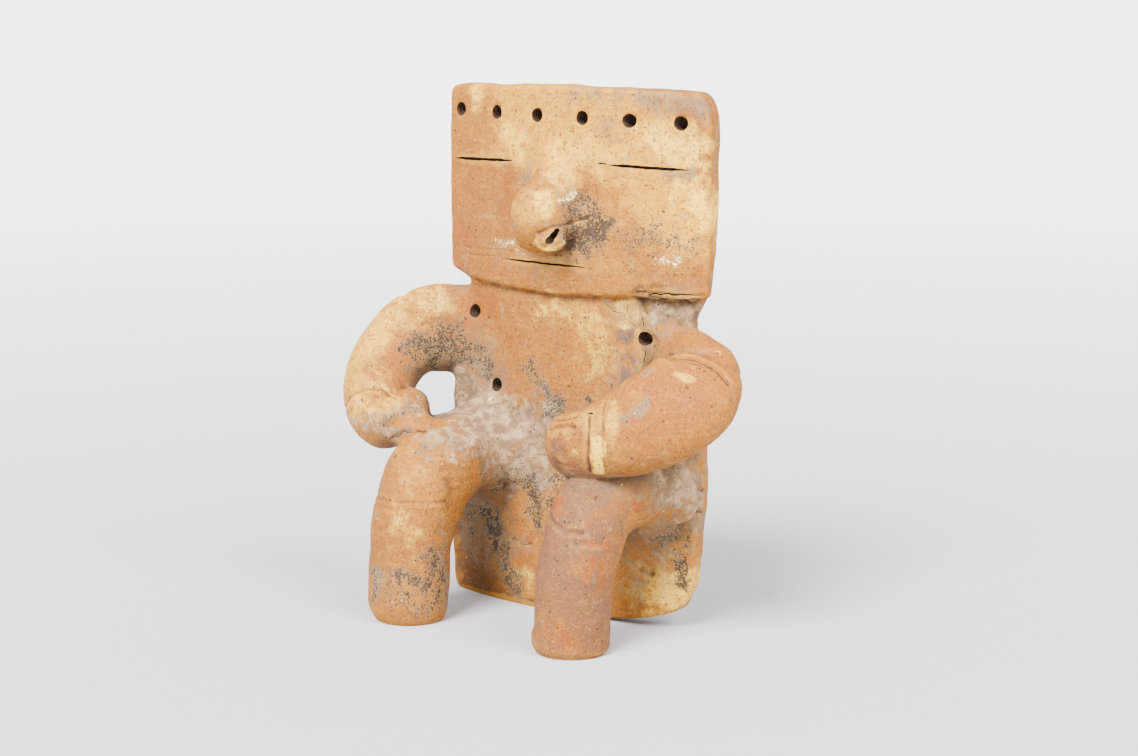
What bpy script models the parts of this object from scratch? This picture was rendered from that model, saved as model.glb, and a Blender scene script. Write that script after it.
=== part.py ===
"""Seated slab figure of fired clay, 243 mm tall, made as one solid.

A flat slab, bent a little to the front, is head and body at once. Arms and legs are rolls
of clay pressed on to it and smoothed over. The figure faces -Y and sits on the lower edge of
its slab and on both feet. The origin is at the middle of the slab's lower edge.
"""

import math

import bmesh
import bpy
import numpy as np
from mathutils import Vector

NAME = "slab_figure"

# Driving sizes, in metres
HEIGHT = 0.243
SLAB_WIDTH = 0.147
HEAD_THICKNESS = 0.014
CORNER_THICKNESS = 0.008
BODY_THICKNESS = 0.012
NECK_THICKNESS = 0.009
CHIN_STEP = 0.0025
BEND_RADIUS = 0.280
EDGE_ROUND = 0.0022
HOLE_DIAMETER = 0.006
HOLE_COUNT = 6
HOLE_SPACING = 0.0246
HOLE_BELOW_TOP = 0.0138
SLIT_WIDTH = 0.0014
SLIT_DEPTH = 0.0030

# The pose and the free forms are shares of the height: a UNIT is a 243rd part of it, which
# is one millimetre on the real figure.
UNIT = HEIGHT / 243
HALF = SLAB_WIDTH / 2
EDGE = HALF / UNIT

LEFT, RIGHT = -1, 1
FRONT = Vector((0, -1, 0))
SIDEWAYS = Vector((1, 0, 0))

# How fine the clay is worked, and how many flat faces are kept of it
VOXEL = 0.0018
TRIANGLES = 7400
PATH_STEPS = 6
RING_SIDES = 28
DRILL_SIDES = 14
ARC_STEPS = 5
MERGE = 0.00005

# Flat outlines, in units, clockwise from the upper left: across, height, corner radius.
# Their side edges follow the slab's width.
HEAD_OUTLINE = [
    (-EDGE + 2.6, 241.6, 7), (0, 243.2, 60), (EDGE - 1.5, 242.6, 5), (EDGE, 233, 30),
    (EDGE - 0.4, 181, 60), (EDGE - 1.8, 151.5, 3), (EDGE * 0.88, 150, 8),
    (EDGE * 0.55, 150.5, 30), (EDGE * 0.25, 149.4, 40), (0, 148.6, 40),
    (-EDGE * 0.25, 148.6, 40), (-EDGE * 0.65, 150.8, 40), (-EDGE * 0.9, 153.0, 12),
    (-EDGE + 3.0, 156, 4), (-EDGE + 2.2, 181, 60)]
BODY_OUTLINE = [
    (-EDGE, 146.6, 4), (-EDGE * 0.82, 148.6, 3), (-EDGE * 0.82, 157, 0), (EDGE * 0.5, 157, 0),
    (EDGE * 0.56, 141, 6), (EDGE * 0.9, 136, 8), (EDGE - 5, 85, 60), (EDGE - 3.6, 69, 30),
    (EDGE - 6.4, 47, 60), (EDGE - 8.4, 21, 12), (EDGE - 14, 9, 10), (EDGE * 0.5, 2.0, 40),
    (0, -1.2, 60), (-EDGE * 0.5, -2.2, 60), (-EDGE + 1.0, -0.6, 5), (-EDGE - 1.8, 17, 40),
    (-EDGE - 0.6, 97, 60)]
NECK_OUTLINE = [
    (-EDGE * 0.8, 166, 0), (EDGE * 0.95, 166, 0), (EDGE * 0.95, 153, 3), (EDGE * 0.865, 142, 4),
    (EDGE * 0.86, 130, 0), (-EDGE * 0.8, 130, 0)]

# Limbs, in units: x out of the slab's side edge, y, z, half size across, half size deep
LEFT_ARM = [
    (26, 3, 129, 15, 4), (10, 4, 128, 19.5, 7), (-2, -2, 127.5, 21, 11),
    (-12, -10, 123.5, 20, 14), (-17.5, -19, 114, 18.5, 15.5), (-18.5, -27, 104, 18, 16),
    (-15.5, -33, 94.5, 17.5, 15.5), (-8, -37, 88.5, 15.5, 14.5), (1, -39, 86, 12, 11.5),
    (5, -40, 85, 7, 7)]
RIGHT_UPPER_ARM = [
    (-30, 2, 125, 11, 4), (-14, 3, 124.5, 14, 9), (-3, -2, 121.5, 16, 12), (6, -6, 118, 16, 12),
    (10, -12, 114, 12, 10)]
RIGHT_FOREARM = [
    (9, -2, 119, 6, 5), (9.5, -7, 118, 14, 10), (8.5, -14, 116, 19.5, 13.5),
    (5, -23, 111, 22, 14.5), (-2, -32, 104.5, 21.5, 14.5), (-11, -39, 98.5, 19.5, 14),
    (-23, -43, 93.5, 16.8, 13), (-36, -45, 90.3, 14.6, 11.5), (-45, -45, 89, 12.8, 9.5),
    (-49.5, -44, 88.5, 8, 6)]
LEFT_LEG = [
    (25, 6, 74, 16, 17), (25, -10, 72, 18, 19), (24, -28, 70, 19.5, 19.5), (23, -42, 64, 21, 20),
    (22, -50, 49, 19.5, 19.4), (21, -53.5, 33, 18.8, 18.8), (20.6, -54, 17, 18.5, 18.5),
    (20.2, -54, 5, 18, 18), (19.8, -54, 0, 15, 15), (19.8, -54, -2.2, 10, 10)]
RIGHT_LEG = [
    (-26, 6, 73, 16, 17), (-27, -10, 70, 18, 18), (-29, -27, 67, 18.5, 18),
    (-31, -40, 61, 18.5, 17.6), (-31.6, -48, 48, 18, 17.4), (-32, -53, 34, 17, 16.8),
    (-32.2, -54, 20, 16.6, 16.6), (-32.6, -54, 9, 16.8, 16.8), (-33.5, -54, 4, 17.2, 17.2),
    (-33.8, -54, 0, 15, 15), (-33.8, -54, -2.2, 10, 10)]

# Clay worked in where a limb meets the slab, in units: centre, then half sizes along X, Y, Z
FILLETS = [
    (-EDGE + 25.5, -6, 83, 19, 9, 13), (-EDGE + 44.5, -5, 72, 11, 8, 15),
    (-EDGE + 21.5, -5, 56, 16, 9, 9), (EDGE - 28.5, -8, 82, 18, 11, 14),
    (EDGE - 49.5, -5, 70, 12, 8, 15), (EDGE - 27.5, -5, 53, 15, 9, 9),
    (EDGE - 10.5, -4, 66, 9, 8, 16), (-EDGE + 1.5, -30, 91, 9, 11, 11)]

# Where the joins are smoothed over: place and reach, in units
JOINS = [
    (-EDGE + 25.5, -8, 88, 26), (-EDGE + 25.5, -8, 55, 20), (-EDGE + 47.5, -8, 72, 20),
    (EDGE - 27.5, -8, 86, 26), (EDGE - 27.5, -8, 52, 20), (EDGE - 49.5, -8, 70, 20),
    (EDGE - 9.5, -6, 66, 20), (-EDGE + 3.5, -4, 128, 28), (-EDGE + 11.5, -2, 106, 14),
    (EDGE - 25.5, -4, 128, 16), (EDGE - 31.5, -14, 98, 18), (-EDGE + 7.5, -36, 88, 16),
    (-5, -6, 204, 20), (18, -8, 184, 16), (-26, -10, 190, 10)]

# Marks pressed into the clay, in units: side, points of the stroke (x out of that side's edge),
# its half width and its depth
MARKS = [
    (LEFT, [(-1.5, -54, 57), (10.5, -70, 58.5), (25.5, -75, 59.5), (40.5, -66, 58),
            (45.5, -54, 57)], 2.6, 0.9),
    (RIGHT, [(-49.5, -52, 59), (-37.5, -64, 60.5), (-25.5, -67, 60), (-17.5, -60, 59)], 2.8, 1.1),
    (LEFT, [(-19.5, -9, 139), (-12.5, -14, 139.5), (-2.5, -20, 138.5), (5.5, -22, 135)], 3.0, 1.3),
    (LEFT, [(-30.5, -32, 87), (-24.5, -40, 97), (-10.5, -46, 104), (3.5, -42, 107)], 2.6, 0.8),
    (RIGHT, [(-23.5, -56, 106), (-22.5, -58, 94), (-23.5, -56, 80)], 3.2, 1.5),
    (RIGHT, [(-47.5, -50, 97), (-39.5, -57, 98), (-30.5, -58, 101)], 2.8, 1.3),
    (RIGHT, [(-46.5, -50, 87), (-38.5, -57, 89), (-29.5, -58, 92)], 2.8, 1.3)]

# The middle of the nose, a little to the left of the head's middle, in units
NOSE_X = -5


def on_slab(along, z, out=0.0):
    """The point at an arc length along the bent slab, a height, and a distance out of its
    middle surface to the front."""
    angle = along / BEND_RADIUS
    reach = BEND_RADIUS + out
    return Vector((reach * math.sin(angle), BEND_RADIUS - reach * math.cos(angle), z))


def head_front(along, z, out=0.0):
    """A point over the head's front face, which stands a step in front of the body's."""
    return on_slab(along, z, BODY_THICKNESS / 2 + CHIN_STEP + out)


def clear_scene():
    for item in list(bpy.data.objects):
        bpy.data.objects.remove(item, do_unlink=True)


def new_collection(name):
    collection = bpy.data.collections.new(name)
    bpy.context.scene.collection.children.link(collection)
    return collection


def new_object(name, data, collection):
    item = bpy.data.objects.new(name, data)
    collection.objects.link(item)
    return item


def object_from(work, name, collection):
    mesh = bpy.data.meshes.new(name)
    work.to_mesh(mesh)
    work.free()
    return new_object(name, mesh, collection)


def settle(item):
    """Applies an object's modifiers, by keeping its evaluated mesh alone."""
    graph = bpy.context.evaluated_depsgraph_get()
    mesh = bpy.data.meshes.new_from_object(item.evaluated_get(graph))
    item.modifiers.clear()
    item.data = mesh
    return item


def voxels(item):
    remesh = item.modifiers.new("voxels", "REMESH")
    remesh.mode = "VOXEL"
    remesh.voxel_size = VOXEL
    return settle(item)


def rounded(corners):
    """An outline through corners (x, z, radius), each turned with an arc."""
    points = []
    count = len(corners)
    for index, (x, z, radius) in enumerate(corners):
        here = Vector((x, z))
        before = Vector(corners[index - 1][:2]) - here
        after = Vector(corners[(index + 1) % count][:2]) - here
        half_turn = before.angle(after) / 2
        if radius <= 0 or half_turn > math.radians(88):
            points.append(here)
            continue
        reach = min(radius / math.tan(half_turn), before.length * 0.45, after.length * 0.45)
        start = here + before.normalized() * reach
        end = here + after.normalized() * reach
        for step in range(ARC_STEPS + 1):
            t = step / ARC_STEPS
            points.append(start * (1 - t) ** 2 + here * 2 * t * (1 - t) + end * t ** 2)
    return points


def plate(name, corners, thickness, front, collection, thin_corner=None):
    """A flat outline with rounded edges, bent with the slab. Its front face is at a distance
    front out of the slab's middle. With thin_corner, its back comes forward towards its lower
    corner at +X, until that thickness is left there."""
    curve = bpy.data.curves.new(name, "CURVE")
    curve.dimensions = "2D"
    curve.fill_mode = "BOTH"
    edge = min(EDGE_ROUND, thickness * 0.4)
    curve.extrude = thickness / 2 - edge
    curve.bevel_depth = edge
    curve.bevel_resolution = 3
    curve.offset = -edge
    outline = rounded([(x * UNIT, z * UNIT, radius * UNIT) for x, z, radius in corners])
    spline = curve.splines.new("POLY")
    spline.points.add(len(outline) - 1)
    spline.use_cyclic_u = True
    for point, place in zip(spline.points, outline):
        point.co = (place.x, place.y, 0, 1)
    drawn = new_object(name + "_outline", curve, collection)
    graph = bpy.context.evaluated_depsgraph_get()
    work = bmesh.new()
    work.from_mesh(bpy.data.meshes.new_from_object(drawn.evaluated_get(graph)))
    bpy.data.objects.remove(drawn, do_unlink=True)
    bmesh.ops.remove_doubles(work, verts=work.verts, dist=MERGE)
    bmesh.ops.recalc_face_normals(work, faces=work.faces)
    solid = voxels(object_from(work, name, collection))
    low = min(vertex.co.y for vertex in solid.data.vertices)
    high = max(vertex.co.y for vertex in solid.data.vertices)
    for vertex in solid.data.vertices:
        along, z, out = vertex.co
        behind = thickness / 2 - out
        if thin_corner is not None:
            down = max(0.0, 1 - (z - low) / (0.66 * (high - low)))
            aside = max(0.0, along / HALF)
            behind *= 1 - (1 - thin_corner / thickness) * down * aside ** 2
        vertex.co = on_slab(along, z, front - behind)
    return solid


def smooth_path(stations):
    """Rows of numbers between the stations, on a Catmull-Rom curve through them."""
    path = []
    last = len(stations) - 1
    for index in range(last):
        p0 = stations[max(index - 1, 0)]
        p1 = stations[index]
        p2 = stations[index + 1]
        p3 = stations[min(index + 2, last)]
        for step in range(PATH_STEPS):
            t = step / PATH_STEPS
            row = []
            for a, b, c, d in zip(p0, p1, p2, p3):
                bend = (2 * a - 5 * b + 4 * c - d) * t * t + (3 * b - a - 3 * c + d) * t ** 3
                row.append(b + 0.5 * ((c - a) * t + bend))
            path.append(row)
    path.append(list(stations[last]))
    return path


def limb(name, side, stations, deep_side, collection):
    """A loft of ovals along a limb; each oval's depth lies towards deep_side."""
    placed = [(side * EDGE + x, y, z, across, deep) for x, y, z, across, deep in stations]
    path = [[value * UNIT for value in row] for row in smooth_path(placed)]
    centres = [Vector(row[:3]) for row in path]
    work = bmesh.new()
    rings = []
    for index, centre in enumerate(centres):
        ahead = centres[min(index + 1, len(centres) - 1)]
        behind = centres[max(index - 1, 0)]
        tangent = (ahead - behind).normalized()
        deep_axis = (deep_side - tangent * deep_side.dot(tangent)).normalized()
        across_axis = tangent.cross(deep_axis)
        across, deep = path[index][3:]
        ring = []
        for corner in range(RING_SIDES):
            angle = 2 * math.pi * corner / RING_SIDES
            oval = across_axis * across * math.cos(angle) + deep_axis * deep * math.sin(angle)
            ring.append(work.verts.new(centre + oval))
        rings.append(ring)
    for lower, upper in zip(rings, rings[1:]):
        for a in range(RING_SIDES):
            b = (a + 1) % RING_SIDES
            work.faces.new((lower[a], lower[b], upper[b], upper[a]))
    work.faces.new(rings[0])
    work.faces.new(rings[-1])
    bmesh.ops.recalc_face_normals(work, faces=work.faces)
    return object_from(work, name, collection)


def lump(name, centre, half_sizes, collection):
    """A ball of clay, drawn out along X, Y and Z."""
    work = bmesh.new()
    bmesh.ops.create_uvsphere(work, u_segments=28, v_segments=16, radius=1)
    for vertex in work.verts:
        vertex.co = Vector(a * b for a, b in zip(vertex.co, half_sizes)) + centre
    return object_from(work, name, collection)


def model_slab(collection):
    body_front = BODY_THICKNESS / 2
    return [
        plate("head", HEAD_OUTLINE, HEAD_THICKNESS, body_front + CHIN_STEP, collection,
              CORNER_THICKNESS),
        plate("body", BODY_OUTLINE, BODY_THICKNESS, body_front, collection),
        plate("neck", NECK_OUTLINE, NECK_THICKNESS, body_front - 2.5 * UNIT, collection)]


def model_limbs(collection):
    limbs = [
        limb("left_arm", LEFT, LEFT_ARM, FRONT, collection),
        limb("right_upper_arm", RIGHT, RIGHT_UPPER_ARM, FRONT, collection),
        limb("right_forearm", RIGHT, RIGHT_FOREARM, FRONT, collection),
        limb("left_leg", LEFT, LEFT_LEG, SIDEWAYS, collection),
        limb("right_leg", RIGHT, RIGHT_LEG, SIDEWAYS, collection)]
    for x, y, z, wide, deep, tall in FILLETS:
        sizes = (wide * UNIT, deep * UNIT, tall * UNIT)
        limbs.append(lump("fillet", Vector((x, y, z)) * UNIT, sizes, collection))
    return limbs


def model_nose(collection):
    """A hooked, bulbous nose: a bridge, a full bulb and a lip round each nostril."""
    forms = [
        ("nose_bridge", NOSE_X + 1, 194, 2, (10, 9.5, 15)),
        ("nose_bulb", NOSE_X, 185.5, 5, (15, 15.5, 18.5)),
        ("left_nostril_lip", NOSE_X - 5, 174.5, 8, (6, 8, 5)),
        ("right_nostril_lip", NOSE_X + 7.5, 175, 10, (6.5, 8.5, 5.2))]
    lumps = []
    for name, x, z, out, sizes in forms:
        place = head_front(x * UNIT, z * UNIT, out * UNIT)
        lumps.append(lump(name, place, [size * UNIT for size in sizes], collection))
    return lumps


def join(items, name, collection):
    """Every piece of clay in one mesh, made one body by its voxels."""
    work = bmesh.new()
    for item in items:
        work.from_mesh(item.data)
        bpy.data.objects.remove(item, do_unlink=True)
    return voxels(object_from(work, name, collection))


def smooth(item, rounds, group=""):
    soften = item.modifiers.new("smooth", "SMOOTH")
    soften.factor = 0.5
    soften.iterations = rounds
    soften.vertex_group = group
    return settle(item)


def smooth_joins(item):
    group = item.vertex_groups.new(name="joins")
    places = [(Vector((x, y, z)) * UNIT, reach * UNIT) for x, y, z, reach in JOINS]
    for vertex in item.data.vertices:
        weight = max(1 - ((vertex.co - place).length / reach) ** 2 for place, reach in places)
        if weight > 0:
            group.add([vertex.index], weight, "REPLACE")
    return smooth(item, 90, "joins")


def nearness(points, stroke, half_width):
    """How near each point is to a stroke of straight pieces: 1 on it, 0 at its half width."""
    best = np.full(len(points), np.inf)
    for start, end in zip(stroke, stroke[1:]):
        start, step = np.array(start), np.array(end) - np.array(start)
        share = np.clip((points - start) @ step / (step @ step), 0, 1)
        away = np.linalg.norm(points - start - share[:, None] * step, axis=1)
        best = np.minimum(best, away)
    return np.clip(1 - (best / half_width) ** 2, 0, 1) ** 2


def press_marks(item):
    """Bands at the knees and wrist, creases at the shoulder and the fingers' grooves."""
    mesh = item.data
    count = len(mesh.vertices)
    points = np.empty(count * 3)
    normals = np.empty(count * 3)
    mesh.vertices.foreach_get("co", points)
    mesh.vertices.foreach_get("normal", normals)
    points = points.reshape(-1, 3)
    normals = normals.reshape(-1, 3)
    start = points / UNIT
    for side, stroke, half_width, depth in MARKS:
        placed = [(side * EDGE + x, y, z) for x, y, z in stroke]
        push = nearness(start, snapped(item, placed), half_width) * depth * UNIT
        points -= normals * push[:, None]
    mesh.vertices.foreach_set("co", points.ravel())
    mesh.update()


def snapped(item, stroke):
    """A stroke's points, moved on to the clay's surface and filled in between."""
    points = []
    for start, end in zip(stroke, stroke[1:]):
        for step in range(PATH_STEPS):
            place = Vector(start).lerp(Vector(end), step / PATH_STEPS)
            hit = item.closest_point_on_mesh(place * UNIT)[1]
            points.append(tuple(hit / UNIT))
    return points


def fewer(item):
    decimate = item.modifiers.new("fewer", "DECIMATE")
    decimate.ratio = TRIANGLES / (2 * len(item.data.polygons))
    decimate.use_collapse_triangulate = True
    return settle(item)


def cut(item, cutter):
    boolean = item.modifiers.new("cut", "BOOLEAN")
    boolean.operation = "DIFFERENCE"
    boolean.solver = "EXACT"
    boolean.object = cutter
    cutter.hide_render = True
    cutter.display_type = "WIRE"


def drill(name, start, end, radius, collection):
    """A round cutter from one point to another."""
    work = bmesh.new()
    bmesh.ops.create_cone(work, cap_ends=True, segments=DRILL_SIDES, radius1=radius,
                          radius2=radius, depth=(end - start).length)
    item = object_from(work, name, collection)
    item.rotation_euler = (end - start).to_track_quat("Z", "Y").to_euler()
    item.location = (start + end) / 2
    return item


def cut_ground(item, cutters):
    """Flat contact faces under the slab's edge and both feet."""
    work = bmesh.new()
    bmesh.ops.create_cube(work, size=3 * HEIGHT)
    ground = object_from(work, "ground", cutters)
    ground.location.z = -1.5 * HEIGHT
    cut(item, ground)


def cut_head_holes(item, cutters):
    """A row of holes right through the head, under its upper edge."""
    middle = (HOLE_COUNT - 1) / 2
    for index in range(HOLE_COUNT):
        along = (index - middle) * HOLE_SPACING - UNIT
        z = HEIGHT - HOLE_BELOW_TOP - (index - middle) * 0.4 * UNIT
        start = head_front(along, z, 2 * HEAD_THICKNESS)
        end = head_front(along, z, -3 * HEAD_THICKNESS)
        cut(item, drill("head_hole", start, end, HOLE_DIAMETER / 2, cutters))


def cut_chest_holes(item, cutters):
    """Two holes at the shoulders and one low on the left of the body."""
    for along, z in ((-EDGE + 18.7, 136.1), (EDGE - 29.9, 132.1), (-EDGE + 32.3, 102.7)):
        start = on_slab(along * UNIT, z * UNIT, 3 * BODY_THICKNESS)
        end = on_slab(along * UNIT, z * UNIT, -3 * BODY_THICKNESS)
        cut(item, drill("chest_hole", start, end, HOLE_DIAMETER / 2, cutters))


def cut_nostrils(item, cutters):
    for side in (LEFT, RIGHT):
        start = head_front((NOSE_X + side * 13) * UNIT, 173 * UNIT, 24 * UNIT)
        end = head_front((NOSE_X + side * 8) * UNIT, 178 * UNIT, 8 * UNIT)
        cut(item, drill("nostril", start, end, 2.2 * UNIT, cutters))


def stroke_cutter(name, start, end, collection):
    """A blade's mark in the head's front, tapered to both ends, from one (along, z) to
    another."""
    work = bmesh.new()
    bmesh.ops.create_cube(work, size=1)
    lengthwise = [edge for edge in work.edges
                  if abs(edge.verts[0].co.x - edge.verts[1].co.x) > 0.5]
    bmesh.ops.subdivide_edges(work, edges=lengthwise, cuts=5)
    for vertex in work.verts:
        share = vertex.co.x + 0.5
        full = math.sqrt(1 - 2 * abs(vertex.co.x))
        along = start[0] + (end[0] - start[0]) * share
        z = start[1] + (end[1] - start[1]) * share
        half_width = math.copysign(SLIT_WIDTH / 2 * max(full, 0.35), vertex.co.z)
        out = -SLIT_DEPTH * max(full, 0.5) if vertex.co.y > 0 else SLIT_DEPTH
        vertex.co = head_front(along, z + half_width, out)
    return object_from(work, name, collection)


def cut_face(item, cutters):
    """Each eye and the mouth is a single stroke of a blade."""
    strokes = {"left_eye": ((-EDGE * 0.9, 207.2), (-EDGE * 0.38, 208.2)),
               "right_eye": ((EDGE * 0.27, 209), (EDGE * 0.85, 208)),
               "mouth": ((-EDGE * 0.45, 162.8), (EDGE * 0.18, 162.4))}
    for name, (start, end) in strokes.items():
        start = [value * UNIT for value in start]
        end = [value * UNIT for value in end]
        cut(item, stroke_cutter(name, start, end, cutters))


def fired_clay():
    material = bpy.data.materials.new("fired_clay")
    material.use_nodes = True
    shader = material.node_tree.nodes["Principled BSDF"]
    shader.inputs["Base Color"].default_value = (0.56, 0.36, 0.20, 1)
    shader.inputs["Roughness"].default_value = 0.75
    shader.inputs["Metallic"].default_value = 0.0
    return material


def build():
    clear_scene()
    parts = new_collection("slab figure")
    cutters = new_collection("cutters")
    pieces = model_slab(parts) + model_limbs(parts) + model_nose(parts)
    figure = join(pieces, NAME, parts)
    smooth_joins(figure)
    smooth(figure, 4)
    press_marks(figure)
    fewer(figure)
    cut_ground(figure, cutters)
    cut_head_holes(figure, cutters)
    cut_chest_holes(figure, cutters)
    cut_nostrils(figure, cutters)
    cut_face(figure, cutters)
    figure.name = NAME
    figure.data.materials.append(fired_clay())


build()
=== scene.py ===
# %% [markdown]
# # A seated slab figure of fired clay
# The real figure was built by hand: one flat slab of clay, bent a little, is head and body at
# once, and rolls of clay pressed on to it are its arms and legs. Then the clay was rubbed
# smooth, pierced with a stick, cut with a blade and fired in an open fire. This lesson builds
# it in the same order, in millimetres, and turns it to metres at the very end.

# %% Load the fixed frame
import math

import bmesh
import bpy
import numpy as np
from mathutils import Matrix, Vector, noise
from mathutils.bvhtree import BVHTree


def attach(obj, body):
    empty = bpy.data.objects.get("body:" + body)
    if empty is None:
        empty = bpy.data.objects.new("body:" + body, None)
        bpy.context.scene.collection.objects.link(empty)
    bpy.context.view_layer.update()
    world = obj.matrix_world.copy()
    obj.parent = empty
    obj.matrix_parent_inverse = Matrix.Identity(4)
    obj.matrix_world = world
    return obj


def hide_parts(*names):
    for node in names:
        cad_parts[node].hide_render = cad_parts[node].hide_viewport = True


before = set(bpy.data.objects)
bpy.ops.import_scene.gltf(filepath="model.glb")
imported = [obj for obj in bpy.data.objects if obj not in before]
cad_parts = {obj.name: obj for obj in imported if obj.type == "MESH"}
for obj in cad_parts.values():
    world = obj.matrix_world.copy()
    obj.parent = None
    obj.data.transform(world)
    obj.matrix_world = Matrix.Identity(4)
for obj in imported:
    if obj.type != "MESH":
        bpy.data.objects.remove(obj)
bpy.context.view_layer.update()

# With a seed, the ragged borders of the stains come out the same on every run
NOISE_SEED = 5
noise.seed_set(NOISE_SEED)

# %% [markdown]
# ## The camera
# It stands to the right of the figure's front and looks down on it a little, 1.15 m away.
# The long lens keeps the slab's upright edges nearly parallel. It is made first, so that each
# later step can be looked at from here.

# %% Camera
CAMERA_PLACE = (0.6674, -0.8878, 0.2976)
TURN = 37.0
TILT = 9.6
FOCAL_LENGTH_IN_PIXELS = 2464
PICTURE_WIDTH = 1138
SENSOR_WIDTH = 36
bpy.ops.object.camera_add(location=CAMERA_PLACE,
                          rotation=(math.radians(90 - TILT), 0, math.radians(TURN)))
camera = bpy.context.object
camera.name = "studio_camera"
camera.data.sensor_width = SENSOR_WIDTH
camera.data.lens = FOCAL_LENGTH_IN_PIXELS * SENSOR_WIDTH / PICTURE_WIDTH
camera.data.clip_end = 100
bpy.context.scene.camera = camera
print("camera lens", round(camera.data.lens, 2), "mm")

# %% [markdown]
# ## Sizes
# A maker would note these down before rolling out the clay. Heights run from the ground up,
# along is measured over the slab's bent face from its middle, and the figure faces -Y.

# %% Sizes in millimetres
HEIGHT = 243.0
SLAB_WIDTH = 147.0
EDGE = SLAB_WIDTH / 2
HEAD_THICKNESS = 14.0
CORNER_THICKNESS = 8.0
BODY_THICKNESS = 12.0
NECK_THICKNESS = 9.0
NECK_SET_BACK = 2.5
CHIN_STEP = 2.5
BEND_RADIUS = 280.0
EDGE_ROUND = 2.2
HOLE_DIAMETER = 6.4
HOLE_COUNT = 6
HOLE_SPACING = 24.6
FIRST_HOLE = -62.5
HOLE_BELOW_TOP = 12.8
ROW_DROP = 0.4
SLIT_WIDTH = 1.5
SLIT_DEPTH = 3.0
CLAY_GRAIN = 0.8
TRIANGLES = 176000
LEFT, RIGHT = -1, 1
FRONT = Vector((0, -1, 0))
SIDEWAYS = Vector((1, 0, 0))

# %% [markdown]
# ## A few small habits
# An operator works on whatever is selected, so each step first leaves one object selected
# alone. A modifier that has done its work is applied at once, as pressed clay stays pressed.
# Edges are picked by the way they run, and faces are turned outwards after each shaping.

# %% Helpers for operators
def alone(item):
    bpy.ops.object.select_all(action="DESELECT")
    item.select_set(True)
    bpy.context.view_layer.objects.active = item
    return item


def fresh(add, name, **settings):
    """Adds an object with nothing else selected, and names it."""
    bpy.ops.object.select_all(action="DESELECT")
    add(**settings)
    bpy.context.object.name = name
    return bpy.context.object


def joined(pieces, name):
    whole = alone(pieces[0])
    for piece in pieces:
        piece.select_set(True)
    bpy.ops.object.join()
    whole.name = name
    return whole


def shaped_by(item, kind, **settings):
    """Adds a modifier, sets it and applies it."""
    alone(item)
    modifier = item.modifiers.new(kind.lower(), kind)
    for name, value in settings.items():
        setattr(modifier, name, value)
    bpy.ops.object.modifier_apply(modifier=modifier.name)
    return item


def facing_out(item):
    """Turns all of an object's faces outwards."""
    alone(item)
    bpy.ops.object.mode_set(mode="EDIT")
    bpy.ops.mesh.select_all(action="SELECT")
    bpy.ops.mesh.normals_make_consistent(inside=False)
    bpy.ops.object.mode_set(mode="OBJECT")


def edges_along(item, axis, along=True):
    """Opens edit mode and selects the edges that run along an axis, or all the others."""
    alone(item)
    bpy.ops.object.mode_set(mode="EDIT")
    bpy.ops.mesh.select_all(action="DESELECT")
    bpy.ops.mesh.select_mode(type="EDGE")
    work = bmesh.from_edit_mesh(item.data)
    for edge in work.edges:
        run = abs(edge.verts[0].co[axis] - edge.verts[1].co[axis])
        edge.select_set((run > 0.5) == along)
    bmesh.update_edit_mesh(item.data)


def read_points(mesh, what="co"):
    values = np.empty(len(mesh.vertices) * 3)
    mesh.vertices.foreach_get(what, values)
    return values.reshape(-1, 3)


def write_points(mesh, points):
    mesh.vertices.foreach_set("co", points.ravel())
    mesh.update()


def on_slab(along, z, out=0.0):
    """A point over the bent slab: out is its distance in front of the slab's middle."""
    angle = along / BEND_RADIUS
    reach = BEND_RADIUS + out
    return Vector((reach * math.sin(angle), BEND_RADIUS - reach * math.cos(angle), z))


def head_front(along, z, out=0.0):
    return on_slab(along, z, BODY_THICKNESS / 2 + CHIN_STEP + out)


print("the slab's side edge lies at", [round(v, 1) for v in on_slab(EDGE, 0)])

# %% [markdown]
# ## The slab
# The slab was rolled flat and trimmed with a blade, so its outline is nearly square with soft
# corners. Head, neck and body are three plates of one thickness each: a filled circle is
# pulled to the outline, extruded to a plate and bevelled along both rims. A voxel remesh gives
# the plate the even grain that lets it bend smoothly over a large cylinder.

# %% Outlines of the plates: across, height, corner radius
HEAD_OUTLINE = [
    (-EDGE + 2.6, 241.6, 7), (0, 243.2, 60), (EDGE - 4.0, 241.4, 8), (EDGE - 0.6, 231, 30),
    (EDGE - 0.4, 181, 60), (EDGE - 1.8, 151.5, 3), (EDGE * 0.88, 150, 8),
    (EDGE * 0.55, 150.5, 30), (EDGE * 0.25, 149.4, 40), (0, 148.6, 40),
    (-EDGE * 0.25, 148.6, 40), (-EDGE * 0.65, 150.8, 40), (-EDGE * 0.9, 153.0, 12),
    (-EDGE + 3.0, 156, 4), (-EDGE + 2.2, 181, 60)]
BODY_OUTLINE = [
    (-EDGE, 146.6, 4), (-EDGE * 0.82, 148.6, 3), (-EDGE * 0.82, 157, 0), (EDGE * 0.5, 157, 0),
    (EDGE * 0.56, 141, 6), (EDGE * 0.9, 136, 8), (EDGE - 5, 85, 60), (EDGE - 3.6, 69, 30),
    (EDGE - 6.4, 47, 60), (EDGE - 8.4, 21, 12), (EDGE - 14, 9, 10), (EDGE * 0.5, 2.0, 40),
    (0, -1.2, 60), (-EDGE * 0.5, -2.2, 60), (-EDGE + 1.0, -0.6, 5), (-EDGE - 3.0, 31, 60),
    (-EDGE - 0.6, 97, 60)]
NECK_OUTLINE = [
    (-EDGE * 0.8, 166, 0), (EDGE * 0.95, 166, 0), (EDGE * 0.95, 153, 3), (EDGE * 0.865, 142, 4),
    (EDGE * 0.86, 130, 0), (-EDGE * 0.8, 130, 0)]
ARC_STEPS = 6
NEARLY_STRAIGHT = math.radians(88)
MOST_OF_A_SIDE = 0.45


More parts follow.
